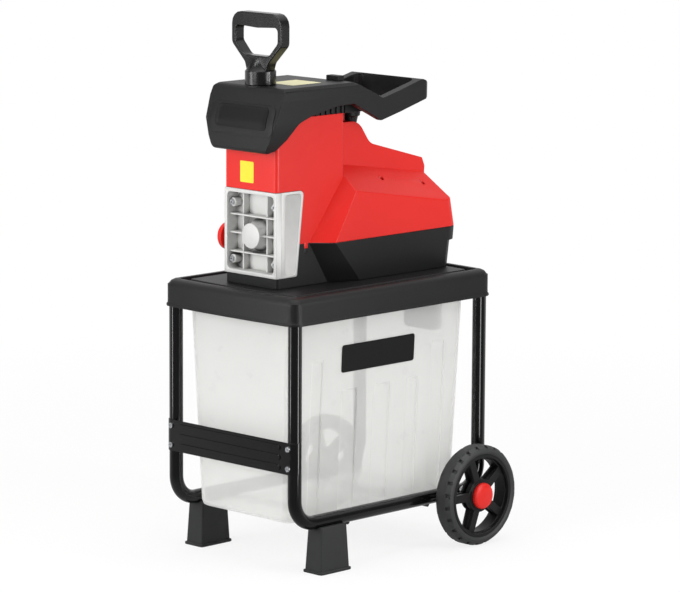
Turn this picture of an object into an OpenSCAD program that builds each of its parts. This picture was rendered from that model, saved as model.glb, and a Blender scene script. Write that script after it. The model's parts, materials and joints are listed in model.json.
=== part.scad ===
// Garden shredder with a slow crushing drum, on a wheeled tube stand over a clear chip bin.
// Frame: +Z up, the floor at z = 0, the machine's front toward -Y, the wheels at the rear.
// Front to rear places are first counted from the middle of the four stand tubes.
// placed() then moves every piece so that the whole footprint is centred on the origin.

/* [Stand] */
// Outer diameter of the stand tubes
tube_d = 25; // [22:0.5:28]
// Wall of the stand tubes
tube_wall = 1.5; // [1:0.1:2.5]
// Distance between the left and right tube axes
stand_w = 304; // [300:1:320]
// Distance between the front and rear tube axes
stand_l = 476; // [470:1:500]
// Bend radius of the tubes at the floor end
bend_r = 46; // [38:1:52]
// Lower edge of the front cross plate
crossbar_z = 186; // [150:1:260]
// Height of the front cross plate
crossbar_h = 57.5; // [50:0.5:70]
// Length of a foot's floor plate
foot_l = 78; // [64:1:96]
// Width of a foot's floor plate
foot_w = 47.5; // [42:0.5:56]

/* [Wheels] */
// Outer radius of a tyre, and the height of the rails
wheel_r = 92.5; // [88:0.5:96]
// Width of a tyre
wheel_w = 39; // [34:1:44]
// Wheel centre behind the middle of the stand
wheel_y = 186; // [170:1:188]
// Radius of a hub cap
cap_r = 24; // [20:0.5:27]

/* [Deck] */
// Width of the deck
deck_w = 337; // [333:1:350]
// Length of the deck at its corners
deck_l = 509; // [504:1:530]
// Lower edge of the deck's skirt
deck_z = 451; // [440:1:470]
// Height of the deck
deck_h = 49; // [46:1:56]
// Bulge of the deck's front and rear edges
deck_bow = 6; // [2:1:10]

/* [Chip bin] */
// Width of the bin at its rim
bin_w = 272; // [256:1:274]
// Width of the bin at its floor
bin_low_w = 238; // [220:1:246]
// Length of the bin at its rim
bin_l = 446; // [430:1:448]
// Wall of the bin
bin_wall = 2.4; // [1.8:0.1:3]
// Travel of the bin out of the stand
bin_travel = 480; // [460:5:520]

/* [Housings] */
// Width of the feed tower
tower_w = 132; // [130:1:136]
// Front face of the feed tower
tower_front = -200; // [-202:1:-198]
// Rear face of the feed tower
tower_rear = -31; // [-34:1:-29]
// Width of the motor housing
body_w = 196; // [192:1:206]
// Rear end of the motor housing
body_rear = 238; // [232:1:242]
// Height of the black lower housing
base_h = 76; // [74:1:80]
// Height of the feed tower above the lower housing
tower_h = 226; // [222:1:232]
// Wall of the plastic housings
wall = 3; // [2.5:0.1:3.5]

/* [Gear cover] */
// Height of the gear cover
cover_h = 153; // [150:1:156]
// Depth of the cover's front pocket
pocket_d = 26; // [20:1:27]
// Radius of the cover's round boss
boss_r = 22.5; // [21:0.5:25]

/* [Hood and handles] */
// Width of the hood
hood_w = 184; // [178:1:188]
// Width of the opening in the carrying loop
loop_w = 148; // [140:1:152]
// Radius of the feed opening
feed_r = 26; // [25:0.5:27]
// Diameter of the pusher's collar
collar_d = 55.6; // [55:0.2:58]
// Width of the pusher's grip
grip_w = 125; // [115:1:132]
// Travel of the pusher out of the hood
pusher_travel = 140; // [125:5:200]

/* [Drive] */
// Radius over the drum's blades
drum_r = 38; // [36:0.5:39]
// Number of blades on the drum
drum_blades = 8; // [6:1:10]
// Teeth of the output gear
gear_z = 55; // [55]
// Teeth of the layshaft pinion
lay_pinion_z = 10; // [10]
// Teeth of the layshaft gear
lay_gear_z = 66; // [66]
// Teeth of the motor pinion
motor_pinion_z = 12; // [12]
// Module of the output pair
output_m = 2; // [2]
// Module of the motor pair
motor_m = 1.25; // [1.25]
// Radius of the motor's stator
stator_r = 54; // [50:1:54]
// Length of the motor's stator
stator_l = 70; // [60:1:72]
// Travel of the pressure plate toward the drum
plate_travel = 4.5; // [3:0.5:4.5]

/* [Hidden] */
$fn = 48;

// Stand heights and places
tube_r = tube_d / 2;
tube_x = stand_w / 2;
tube_y = stand_l / 2;
rail_z = wheel_r;
tube_top = deck_z + 24;
wheel_in = tube_x + tube_r + 11.5;
wheel_out = wheel_in + wheel_w;
bolt_r = 8;
rod_r = 5;
rod_z = rail_z - tube_r;
rod_y = tube_y - 134;
foot_y = 81 - tube_y;
foot_top = rail_z - tube_r + 4;
screw_x = tube_x - 2;
crossbar_t = 1.6;
// Footprint centring: the deck's front lip and the tyres are the outermost faces
lip = 2;
front_end = -deck_l / 2 - deck_bow - lip;
rear_end = wheel_y + wheel_r;
mid_y = (front_end + rear_end) / 2;
// Stack of heights
deck_top = deck_z + deck_h;
base_z = deck_top - 1;
seam_z = base_z + base_h;
tower_top = seam_z + tower_h;
drum_z = seam_z + 14;
cover_z = base_z + 19;
cover_top = cover_z + cover_h;
hood_top = tower_top + 56;
plate_z = tower_top + 34;
// Places along the machine, front to rear
feed_y = -175;
pocket_y = tower_front + pocket_d;
chamber_front = pocket_y + 4;
chamber_rear = chamber_front + 88;
drum_y0 = chamber_front + 4;
drum_y1 = chamber_rear - 2;
plate_rear = chamber_rear + 12;
case_rear = plate_rear + 46;
flange_rear = case_rear + 28;
stator_y0 = flange_rear + 20;
stator_y1 = stator_y0 + stator_l;
shield_y = stator_y1 + 18;
fan_y = shield_y + 14;
hood_rear = -22;
// Gear axes as [x, z]: the layshaft sits up and to the right, the motor back over the drum
lay_angle = 60;
output_a = output_m * (gear_z + lay_pinion_z) / 2;
motor_a = motor_m * (lay_gear_z + motor_pinion_z) / 2;
drum_axis = [0, drum_z];
lay_axis = drum_axis + output_a * [cos(lay_angle), sin(lay_angle)];
motor_axis = [0, lay_axis[1] - sqrt(motor_a * motor_a - lay_axis[0] * lay_axis[0])];
motor_angle = atan2(motor_axis[1] - lay_axis[1], motor_axis[0] - lay_axis[0]);
// Chamber and adjuster
chamber_x = 50;
chamber_out = 59.5;
plate_gap = plate_travel + 0.5;
screw_y = -151;
screw_z = drum_z - 15;
// Control panel slope, from its upper edge down to the rear
panel_y = hood_rear;
panel_z = hood_top - 7;
panel_run = 84;
panel_fall = 38;
panel_slope = atan2(panel_fall, panel_run);
box_low = tower_top - 2;
knob_y = 50;
button_r = 9;
// Bin places
bin_z = rod_z + rod_r + 0.4;
bin_top = deck_z - 2.5;
// Fasteners
shoulder_posts = [[62, 69], [62, 178]];
post_h = 70;
deck_posts = [[74, 30], [74, 190]];
cover_bolts = [[53.4, drum_z + 55], [53.4, drum_z - 47]];
fit = 0.05;

// Helpers
function unit(v) = v / norm(v);
// Arc of radius r that rounds the corner b between a and c
function corner_arc(a, b, c, r, n) =
  let (u = unit(a - b), v = unit(c - b))
  let (half = acos(max(-1, min(1, u * v))) / 2)
  let (o = b + unit(u + v) * r / sin(half))
  let (p = b + u * r / tan(half) - o, q = b + v * r / tan(half) - o)
  let (start = atan2(p.y, p.x), turn = atan2(p.x * q.y - p.y * q.x, p * q))
  [for (i = [0:n]) o + r * [cos(start + turn * i / n), sin(start + turn * i / n)]];
// Outline from corners given as [x, y, radius]
function rounded(c, n = 4) =
  let (k = len(c))
  [for (i = [0:k - 1])
    let (a = c[(i + k - 1) % k], b = c[i], d = c[(i + 1) % k])
    each (b[2] > 0 ? corner_arc([a[0], a[1]], [b[0], b[1]], [d[0], d[1]], b[2], n) : [[b[0], b[1]]])];
function box_outline(w, l, r, y = 0) =
  rounded([[-w / 2, y - l / 2, r], [w / 2, y - l / 2, r], [w / 2, y + l / 2, r], [-w / 2, y + l / 2, r]]);
function both_sides(p) = concat(p, [for (q = p) [-q[0], q[1], q[2]]]);
function at_z(ring, z) = [for (p = ring) [p[0], p[1], z]];

// Moves a piece from the stand's middle to the centred footprint
module placed() {
  translate([0, -mid_y, 0]) children();
}
// Outline in [y, z] drawn across the machine
module across(w, x = 0) {
  translate([x, 0, 0]) rotate([90, 0, 90]) linear_extrude(w, center = true) children();
}
// Outline in [x, z] drawn from y0 to y1
module along(y0, y1) {
  translate([0, y1, 0]) rotate([90, 0, 0]) linear_extrude(y1 - y0) children();
}
// Round bar along Y about an axis given as [x, z]
module bar_y(axis, r, y0, y1) {
  translate([axis[0], y0, axis[1]]) rotate([-90, 0, 0]) cylinder(r = r, h = y1 - y0);
}
// Round bar along X
module bar_x(r, x0, x1, y, z) {
  translate([x0, y, z]) rotate([0, 90, 0]) cylinder(r = r, h = x1 - x0);
}
module bar_z(r, x, y, z0, z1) {
  translate([x, y, z0]) cylinder(r = r, h = z1 - z0);
}
module block(x0, x1, y0, y1, z0, z1) {
  translate([x0, y0, z0]) cube([x1 - x0, y1 - y0, z1 - z0]);
}
module on_both_sides() {
  children();
  mirror([1, 0, 0]) children();
}
// Convex solid over a list of points
module hull_of(points) {
  hull() polyhedron(points, [[for (i = [0:len(points) - 1]) i]]);
}
// Solid skinned over rings of equal length, from the lowest to the last
module skin(rings) {
  n = len(rings[0]);
  m = len(rings);
  points = [for (r = rings) each r];
  walls = [for (k = [0:m - 2], i = [0:n - 1])
    let (a = k * n + i, b = k * n + (i + 1) % n)
    each [[a, a + n, b + n], [a, b + n, b]]];
  polyhedron(points, concat([[for (i = [0:n - 1]) i]], walls, [[for (i = [n - 1:-1:0]) (m - 1) * n + i]]));
}
// Pan head screw pointing down, its head's seat at the origin
module screw(r, l, head_r, head_h) {
  difference() {
    union() {
      cylinder(r = head_r, h = head_h);
      translate([0, 0, -l]) cylinder(r = r, h = l);
    }
    translate([0, 0, head_h * 0.4]) cylinder(r = head_r * 0.45, h = head_h, $fn = 6);
  }
}
// Ball bearing along Y with a groove in each face
module bearing(axis, bore, od, y0, y1) {
  mid = (bore + od) / 4;
  difference() {
    bar_y(axis, od / 2 - fit, y0, y1);
    bar_y(axis, bore / 2, y0 - 1, y1 + 1);
    for (y = [[y0 - 1, y0 + 0.8], [y1 - 0.8, y1 + 1]]) difference() {
      bar_y(axis, mid + (od - bore) / 8, y[0], y[1]);
      bar_y(axis, mid - (od - bore) / 8, y[0] - 1, y[1] + 1);
    }
  }
}

// Gear teeth: involute flanks at a 25 degree pressure angle with short tips
function spread(base, r) = r <= base ? 0 : sqrt(r * r / base / base - 1) * 180 / PI - acos(base / r);
function gear_outline(m, z, play = 0.16) =
  let (pa = 25, rp = m * z / 2, rb = rp * cos(pa), ra = rp + 0.9 * m, rf = rp - 1.2 * m)
  let (low = max(rb, rf + 0.1), half = 90 / z - play / rp * 90 / PI + tan(pa) * 180 / PI - pa)
  let (radii = [rf, low, (low + ra) / 2, (low + 3 * ra) / 4, ra])
  [for (k = [0:z - 1], side = [-1, 1], i = [0:4])
    let (r = radii[side < 0 ? i : 4 - i], t = 360 / z * k + side * (half - spread(rb, r)))
    r * [cos(t), sin(t)]];
// Gear about an axis with one tooth, or one gap, turned to the given angle
module gear(axis, m, z, angle, y0, y1, gap = false) {
  translate([axis[0], 0, axis[1]]) along(y0, y1)
    rotate(angle + (gap ? 180 / z : 0)) polygon(gear_outline(m, z));
}

// Stand
module tube_path(r) {
  span = tube_y - bend_r;
  for (s = [-1, 1]) {
    bar_z(r, 0, s * tube_y, rail_z + bend_r, tube_top);
    translate([0, s * span, rail_z + bend_r]) rotate([0, 90, 0]) rotate(s > 0 ? 0 : -90)
      rotate_extrude(angle = 90) translate([bend_r, 0]) circle(r = r);
  }
  translate([0, -span, rail_z]) rotate([-90, 0, 0]) cylinder(r = r, h = 2 * span);
}
module frame_loop() {
  color("#141414") placed() difference() {
    translate([tube_x, 0, 0]) tube_path(tube_r);
    translate([tube_x, 0, 0]) tube_path(tube_r - tube_wall);
    bar_x(bolt_r + 0.1, tube_x - 20, tube_x + 20, wheel_y, rail_z);
    for (z = screw_heights()) bar_y([screw_x, z], 2.6, -tube_y - 15, -tube_y);
    for (y = [-14, 14]) bar_z(2.6, tube_x, foot_y + y, rail_z - 20, rail_z);
  }
}
function screw_heights() = [crossbar_z + 11, crossbar_z + crossbar_h - 11];

module front_crossbar() {
  face = -tube_y - tube_r;
  color("#202020") placed() difference() {
    union() {
      block(-tube_x, tube_x, face - crossbar_t, face, crossbar_z, crossbar_z + crossbar_h);
      for (k = [0:2]) along(face - crossbar_t - 1.6, face - 0.8)
        translate([0, crossbar_z + 11 + k * (crossbar_h - 22) / 2])
          polygon(box_outline(stand_w - 44, 10, 4.5));
      on_both_sides() translate([tube_x, -tube_y, crossbar_z]) rotate(-90) rotate_extrude(angle = 100)
        translate([tube_r, 0]) square([crossbar_t, crossbar_h]);
    }
    for (z = screw_heights()) on_both_sides() bar_y([screw_x, z], 2.7, face - 10, face + 3);
  }
}
module crossbar_screws() {
  color("silver") placed() on_both_sides() for (z = screw_heights())
    translate([screw_x, -tube_y - tube_r - crossbar_t, z]) rotate([90, 0, 0]) screw(2.5, 10, 5, 2.6);
}
module bin_rods() {
  color("#141414") placed() difference() {
    for (y = [-rod_y, rod_y]) bar_x(rod_r, -tube_x, tube_x, y, rod_z);
    on_both_sides() translate([tube_x, -tube_y, rail_z]) rotate([-90, 0, 0]) cylinder(r = tube_r, h = stand_l);
  }
}
module foot() {
  shell = 3.5;
  top_w = foot_w - 12;
  top_l = foot_l - 14;
  color("#1c1c1c") placed() translate([tube_x + 1.4, foot_y, 0]) difference() {
    union() {
      linear_extrude(5) polygon(box_outline(foot_w, foot_l, 5));
      skin([at_z(box_outline(foot_w - 5, foot_l - 5, 4), 0), at_z(box_outline(top_w, top_l, 4), foot_top)]);
    }
    difference() {
      translate([0, 0, -0.1]) skin([at_z(box_outline(foot_w - 5 - 2 * shell, foot_l - 5 - 2 * shell, 3), 0),
        at_z(box_outline(top_w - 2 * shell, top_l - 2 * shell, 3), foot_top - 12)]);
      block(-foot_w, foot_w, -2, 2, -1, foot_top);
      block(-2, 2, -foot_l, foot_l, -1, foot_top - 30);
    }
    translate([-1.4, -foot_l, rail_z]) rotate([-90, 0, 0]) cylinder(r = tube_r + fit, h = 2 * foot_l);
    for (y = [-14, 14]) bar_z(2.7, -1.4, y, foot_top - 40, foot_top + 5);
  }
}
module foot_screws() {
  color("silver") placed() on_both_sides() for (y = [-14, 14])
    translate([tube_x, foot_y + y, foot_top - 12.1]) rotate([180, 0, 0]) screw(2.5, 14, 4.5, 2.6);
}
module wheel_bolts() {
  color("silver") placed() on_both_sides() {
    bar_x(bolt_r, tube_x - tube_r - 4, wheel_out - 4, wheel_y, rail_z);
    bar_x(12, tube_x + tube_r, wheel_in - 0.4, wheel_y, rail_z);
    bar_x(12, wheel_out - 4.3, wheel_out - 1, wheel_y, rail_z);
    translate([tube_x - tube_r - 8, wheel_y, rail_z]) rotate([0, 90, 0]) cylinder(r = 13, h = 8, $fn = 6);
  }
}

// Wheels
module window(r0, r1, spoke) {
  a0 = asin(spoke / 2 / r0);
  a1 = asin(spoke / 2 / r1);
  half = 36;
  low = [for (i = [0:4]) r0 * [cos(-half + a0 + i * (half - a0) / 2), sin(-half + a0 + i * (half - a0) / 2)]];
  high = [for (i = [6:-1:0]) r1 * [cos(-half + a1 + i * (half - a1) / 3), sin(-half + a1 + i * (half - a1) / 3)]];
  polygon(concat(low, high));
}
// Draws about the wheel axis with +Z outward, the inner face at the origin
module on_axle() {
  placed() translate([wheel_in, wheel_y, rail_z]) rotate([0, 90, 0]) children();
}
module wheel_rim() {
  rim = wheel_r - 16;
  color("#1a1a1a") on_axle() difference() {
    rotate_extrude() polygon([[bolt_r + fit, 0], [20, 0], [20, 10], [rim - 6, 10], [rim - 6, 2], [rim, 2],
      [rim, wheel_w - 2], [rim - 6, wheel_w - 2], [rim - 6, wheel_w - 9], [27, wheel_w - 7],
      [27, wheel_w - 4.6], [bolt_r + fit, wheel_w - 4.6]]);
    translate([0, 0, 14]) rotate_extrude() polygon([[22, 0], [rim - 10, 0], [rim - 10, 8], [22, 8]]);
    for (k = [0:4]) rotate(k * 72 + 18) translate([0, 0, -1]) linear_extrude(wheel_w + 2)
      window(31, rim - 9, 15);
  }
}
module tyre() {
  rim = wheel_r - 16;
  color("#101010") on_axle() difference() {
    rotate_extrude() polygon([[rim, 2.5], [rim + 5, 0], [wheel_r - 5, 2], [wheel_r, 9], [wheel_r, wheel_w - 9],
      [wheel_r - 5, wheel_w - 2], [rim + 5, wheel_w], [rim, wheel_w - 2.5]]);
    for (k = [0:23]) rotate(k * 15) {
      translate([wheel_r - 4.5, -3, -1]) cube([10, 6, 12]);
      rotate(7.5) translate([wheel_r - 4.5, -3, wheel_w - 11]) cube([10, 6, 12]);
    }
  }
}
module hubcap() {
  low = wheel_w - 4.6;
  color("#d9332b") on_axle() difference() {
    rotate_extrude() polygon([[0, low], [cap_r, low], [cap_r, low + 5], [cap_r - 2, low + 8],
      [cap_r - 8, low + 10.5], [0, low + 11.5]]);
    translate([0, 0, low - 1]) cylinder(r = 15, h = 7);
  }
}

// Deck: a hollow tray with a rounded rim, a groove and a raised platform
function deck_ring(inset, z) =
  let (a = deck_w / 2 - inset, b = deck_l / 2 - inset, r = max(6, 20 - inset))
  let (bow = function(x) deck_bow * max(0, 1 - x * x / a / a))
  let (front = [for (i = [0:4]) [-a + r, -b + r] + r * [cos(180 + i * 22.5), sin(180 + i * 22.5)]])
  let (edge = [for (i = [1:7]) [(-a + r) * (1 - i / 4), -b]])
  let (half = concat(front, edge, [for (i = [4:-1:0]) [-front[i].x, front[i].y]]))
  concat([for (p = half) [p.x, p.y - bow(p.x), z]],
    [for (i = [len(half) - 1:-1:0]) [half[i].x, -half[i].y + bow(half[i].x), z]]);
module deck() {
  h = deck_top;
  color("#2b2b2b") placed() difference() {
    union() {
      difference() {
        skin([deck_ring(-lip, deck_z), deck_ring(-lip, deck_z + 4), deck_ring(0, deck_z + 6),
          deck_ring(1, h - 14), deck_ring(2.5, h - 8), deck_ring(6.5, h - 3), deck_ring(13, h), deck_ring(20, h),
          deck_ring(24, h - 8), deck_ring(31, h - 8), deck_ring(35, h - 1)]);
        skin([deck_ring(1.5, deck_z - 1), deck_ring(4, h - 16), deck_ring(10, h - 12), deck_ring(40, h - 12),
          deck_ring(43, h - 5)]);
      }
      // Sockets that take the stand tubes
      for (s = [-1, 1]) on_both_sides() bar_z(tube_r + 2.6, tube_x, s * tube_y, deck_z + 1, h - 9);
      // Ribs under the platform
      for (x = [-100, 100]) {
        block(x - 1.5, x + 1.5, -deck_l / 2 + 12, deck_l / 2 - 12, deck_z + 12, h - 10);
        block(x - 1.5, x + 1.5, -deck_l / 2 + 50, deck_l / 2 - 50, h - 11, h - 3);
      }
      for (y = [-60, 60]) {
        block(-deck_w / 2 + 8, deck_w / 2 - 8, y - 1.5, y + 1.5, deck_z + 12, h - 10);
        block(-deck_w / 2 + 50, deck_w / 2 - 50, y - 1.5, y + 1.5, h - 11, h - 3);
      }
      // Strike that holds the bin's latch when its slide is up
      block(latch_x - 20, latch_x + 20, strike_y, strike_y + 3, deck_z + 1, h - 10);
      block(latch_x - 2, latch_x + 2, strike_y, deck_l / 2 + deck_bow / 2, deck_z + 12, h - 10);
      for (p = deck_posts) on_both_sides() bar_z(8, p[0], p[1], deck_z + 14, h - 4);
    }
    for (s = [-1, 1]) on_both_sides() bar_z(tube_r + fit, tube_x, s * tube_y, deck_z - 5, tube_top);
    block(-46, 46, chamber_front + 4, chamber_rear - 4, deck_z, h + 5);
    for (p = deck_posts) on_both_sides() bar_z(2.1, p[0], p[1], deck_z + 18, h + 5);
  }
}
module deck_screws() {
  color("silver") placed() on_both_sides() for (p = deck_posts)
    translate([p[0], p[1], base_z + wall]) screw(2, 24, 4.5, 2.6);
}

// Housings. The chevron on the motor housing's front narrows to an edge at its top
facet_y = [-118, -83];
ridge_w = 84;
function shoulder(x, y) = seam_z + 124 - 0.78 * (x - 42) - 0.175 * (y - 14);
function body_points(g, z0) =
  let (tw = tower_w / 2 - g, hw = body_w / 2 - g, rear = body_rear - g, rw = ridge_w / 2)
  both_sides([[tw, facet_y[0] + g, z0], [hw, facet_y[1] + g, z0], [hw, rear - 20, z0], [hw - 6, rear - 6, z0],
    [hw - 20, rear, z0], [hw - 20, rear - 1, seam_z + 20], [hw - 20, rear - 11, shoulder(98, 160) - g],
    [hw - 6, rear - 17, shoulder(98, 160) - g - 2], [hw, rear - 34, shoulder(98, 190) - g],
    [hw, tower_rear + g, shoulder(98, tower_rear) - g], [rw, tower_rear + g, shoulder(rw, tower_rear) - g],
    [rw, body_rear - 34 - g, shoulder(rw, 196) - g], [rw + 18, body_rear - 36 - g, shoulder(rw + 18, 200) - g]]);
module tower_volume(g, z0, z1) {
  translate([0, 0, z0]) linear_extrude(z1 - z0) polygon(rounded([[-tower_w / 2 + g, tower_front + g, 7],
    [tower_w / 2 - g, tower_front + g, 7], [tower_w / 2 - g, tower_rear - g, 4],
    [-tower_w / 2 + g, tower_rear - g, 4]]));
}
// The ridge over the motor, falling to the rear in one soft step
module ridge_volume(g, z0) {
  top = seam_z + 205 - g;
  across(ridge_w - 2 * g) polygon(rounded([[tower_rear - 20, z0, 0], [200 - g, z0, 0], [206 - g, seam_z + 108, 0],
    [199 - g, seam_z + 124 - g, 3], [61.5, seam_z + 161.8 - g, 30], [31, top, 36], [tower_rear - 20, top, 0]], 6));
}
// Side view of what the gear cover takes out of both housings
module cover_side(g) {
  polygon(rounded([[tower_front - 20 * g, cover_z - g, 0], [tower_front + 51 + g, cover_z - g, 4],
    [tower_front + 68 + g, cover_top + g, 8], [tower_front - 20 * g, cover_top + g, 0]], 3));
}
// Way for the adjuster's bush through the left wall
module adjuster_hole() {
  bar_x(12.2, -tower_w / 2 - 5, -tower_w / 2 + 8, screw_y, screw_z);
}
module upper_housing() {
  color("#d9332b") placed() difference() {
    union() {
      difference() {
        union() {
          tower_volume(0, seam_z, tower_top);
          ridge_volume(0, seam_z + 60);
          hull_of(body_points(0, seam_z));
        }
        tower_volume(wall, seam_z - 1, tower_top + 1);
        ridge_volume(wall, seam_z + 60);
        hull_of(body_points(wall, seam_z - 1));
      }
      // Screw posts under the shoulders
      intersection() {
        on_both_sides() for (p = shoulder_posts) bar_z(6.5, p[0], p[1], seam_z, seam_z + 110);
        union() {
          hull_of(body_points(1, seam_z));
        }
      }
      // Tab that the hood's clamp knob draws against
      block(-12, 12, 12, 26, seam_z + 201, box_low);
      block(-14, 14, 12, knob_y + 15, box_low - 4, box_low);
    }
    across(tower_w + 2) cover_side(0.4);
    adjuster_hole();
    on_both_sides() for (p = shoulder_posts) {
      bar_z(5, p[0], p[1], seam_z + post_h, seam_z + 160);
      bar_z(2.1, p[0], p[1], seam_z - 1, seam_z + 100);
    }
    bar_z(4.3, 0, knob_y, box_low - 10, box_low + 5);
  }
}
function base_points(g, z0, z1) =
  let (tw = tower_w / 2 - g, hw = body_w / 2 - g, low = body_w / 2 - 8 - g, rear = body_rear - 12 - g)
  both_sides([[tw, facet_y[0] + g, z1], [hw, facet_y[1] + g, z1], [hw, rear - 14, z1], [hw - 5, rear - 3, z1],
    [hw - 16, rear, z1], [tw, facet_y[0] + 48 + g, z0], [low, facet_y[1] + 71 + g, z0], [low, rear - 16, z0],
    [low - 5, rear - 5, z0], [low - 16, rear - 2, z0]]);
module lower_housing() {
  color("#232323") placed() difference() {
    union() {
      difference() {
        union() {
          hull_of(base_points(0, base_z, seam_z));
          translate([0, 0, base_z]) linear_extrude(base_h) polygon(box_outline(tower_w,
            138, 6, tower_front + 72));
          // Lip under the rear of the red housing
          intersection() {
            hull_of([for (p = body_points(0, seam_z), low = [0, 1]) [p[0] * (1 - 0.0285 * low), p[1], seam_z - 26 * low]]);
            block(-body_w, body_w, 120, 300, seam_z - 26, seam_z);
          }
        }
        hull_of(base_points(wall, base_z + wall, seam_z + 1));
        translate([0, 0, base_z + wall]) linear_extrude(base_h) polygon(box_outline(tower_w - 2 * wall,
          138 - 2 * wall, 4, tower_front + 72));
      }
      // Duct from the chamber down to the deck
      difference() {
        block(-chamber_out, chamber_out, chamber_front, chamber_rear + 4, base_z, drum_z - 56);
        block(-chamber_x, chamber_x, chamber_front + 4, chamber_rear - 4, base_z - 1, drum_z);
      }
      // Saddles under the gear case and the stator
      difference() {
        union() {
          for (y = [case_rear - 26, stator_y0 + 8, stator_y1 - 14])
            block(-58, 58, y, y + 5, base_z + 1, motor_axis[1] - 42);
        }
        bar_y(drum_axis, 61.05, plate_rear, case_rear);
        bar_y(motor_axis, stator_r + fit, case_rear + 2, shield_y);
      }
      on_both_sides() for (p = shoulder_posts) bar_z(6.5, p[0], p[1], base_z + 1, seam_z);
    }
    across(tower_w + 2) cover_side(0.4);
    adjuster_hole();
    block(-chamber_x + 3, chamber_x - 3, chamber_front + 4, chamber_rear - 4, base_z - 1, base_z + 10);
    on_both_sides() for (p = shoulder_posts) bar_z(1.9, p[0], p[1], base_z + 20, seam_z + 1);
    on_both_sides() for (p = deck_posts) bar_z(2.3, p[0], p[1], base_z - 1, base_z + 6);
    along(body_rear - 40, body_rear) translate([0, base_z + 28]) polygon(box_outline(31, 25, 4));
  }
}
module housing_screws() {
  color("silver") placed() on_both_sides() for (p = shoulder_posts)
    translate([p[0], p[1], seam_z + post_h]) screw(1.85, 98, 3.8, 2.6);
}

// Gear cover: a cast pan with ribs, a round boss and two side flanges
module gear_cover() {
  half = tower_w / 2;
  color("#c4c6c8") placed() difference() {
    union() {
      difference() {
        across(tower_w) cover_side(0);
        along(tower_front - 1, pocket_y) translate([0, (cover_z + cover_top) / 2])
          polygon(box_outline(tower_w - 14, cover_h - 14, 8));
        block(-half + 4.2, half - 4.2, chamber_front, 0, cover_z - 1, cover_top + 1);
      }
      bar_y(drum_axis, boss_r, tower_front + 0.5, chamber_front);
      translate([0, pocket_y + 0.1, drum_z]) rotate([90, 0, 0]) cylinder(r1 = boss_r + 8, r2 = boss_r, h = 16);
      for (z = [34, 1, -33]) block(-half + 5, half - 5, tower_front + 8, pocket_y + 1, drum_z + z - 1.6, drum_z + z + 1.6);
      for (x = [-30, 30]) block(x - 1.6, x + 1.6, tower_front + 12, pocket_y + 1, cover_z + 5, cover_top - 5);
      for (p = cover_bolts) on_both_sides() bar_y(p, 8, tower_front + 9, chamber_front);
      // Raised bead along each side flange
      on_both_sides() across(3, half - 0.7) difference() {
        cover_side(0);
        polygon(rounded([[tower_front + 22, cover_z + 5, 6], [tower_front + 46, cover_z + 5, 4],
          [tower_front + 62, cover_top - 5, 6], [tower_front + 22, cover_top - 5, 6]]));
        translate([tower_front - 100, 0]) square([112, cover_top + 50]);
      }
    }
    bar_y(drum_axis, 17.5, tower_front + 9, chamber_front + 1);
    for (p = cover_bolts) on_both_sides() bar_y(p, 3.2, tower_front, chamber_front + 1);
    adjuster_hole();
  }
}
module cover_screws() {
  color("silver") placed() on_both_sides() for (p = cover_bolts)
    translate([p[0], tower_front + 9, p[1]]) rotate([90, 0, 0]) screw(3, 44, 5, 4);
}

// Cutting chamber: a U shaped casting whose rear wall carries the drum and the layshaft
module chamber_frame() {
  color("#a9acae") placed() difference() {
    block(-chamber_out, chamber_out, chamber_front, plate_rear, drum_z - 56, lay_axis[1] + 18);
    block(-chamber_x, chamber_x, chamber_front - 1, chamber_rear, drum_z - 60, lay_axis[1] + 20);
    block(-chamber_out - 1, chamber_out + 1, chamber_front - 1, chamber_rear, drum_z + 64, lay_axis[1] + 20);
    bar_y(drum_axis, 17.5, chamber_rear + 1, plate_rear + 1);
    bar_y(drum_axis, 12, chamber_rear - 1, plate_rear);
    bar_y(lay_axis, 13, chamber_rear + 3, plate_rear + 1);
    for (p = cover_bolts) on_both_sides() bar_y(p, 3.05, chamber_front - 1, chamber_front + 24);
    bar_x(5.6, -chamber_out - 1, -chamber_x + 1, screw_y, screw_z);
  }
}
module adjuster_bush() {
  color("#8d8f92") placed() difference() {
    union() {
      bar_x(12, -tower_w / 2 - 20, -tower_w / 2 + 4.2, screw_y, screw_z);
      bar_x(9, -tower_w / 2 + 4.2, -chamber_out, screw_y, screw_z);
      bar_x(15, -tower_w / 2 - 6, -tower_w / 2 - 2.2, screw_y, screw_z);
    }
    bar_x(5.1, -120, -chamber_out + 5, screw_y, screw_z);
  }
}

// Feed: a skirted plate on the tower and a chute that widens down to the drum
function chute_ring(x, y0, y1, r, z) = at_z(rounded([[-x, y0, r], [x, y0, r], [x, y1, r], [-x, y1, r]], 6), z);
module chute(g) {
  e = g > 0 ? 0 : 0.5;
  low = drum_z + drum_r + 14;
  skin([chute_ring(38 + g, drum_y0 + 2 - g, drum_y1 - 2 + g, 8, low - e),
    chute_ring(38 + g, drum_y0 + 2 - g, drum_y1 - 2 + g, 8, cover_top + 9),
    chute_ring(34 + g, tower_front + 6.5 - g, feed_y + 58 + g, 14, cover_top + 68),
    chute_ring(29 + g, tower_front + 6.5 - g, feed_y + 36 + g, 24, tower_top - 4),
    chute_ring(feed_r + g, feed_y - feed_r - g, feed_y + feed_r + g, feed_r + g - 0.2, plate_z - 2),
    chute_ring(feed_r + g, feed_y - feed_r - g, feed_y + feed_r + g, feed_r + g - 0.2, plate_z + e)]);
}
module feed_chute() {
  half = tower_w / 2;
  front = tower_front - 3;
  color("#1a1a1a") placed() difference() {
    union() {
      difference() {
        block(-half, half, front, tower_rear, tower_top, plate_z);
        block(-half + 3, half - 3, front + 4, tower_rear - 3, tower_top - 1, plate_z - 3);
      }
      on_both_sides() for (i = [0:6])
        block(half - 1, half + 3, -118 + i * 13, -113 + i * 13, tower_top, plate_z - 8);
      chute(2.5);
    }
    chute(0);
    bar_z(feed_r, 0, feed_y, plate_z - 2, plate_z + 1);
  }
}

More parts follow.
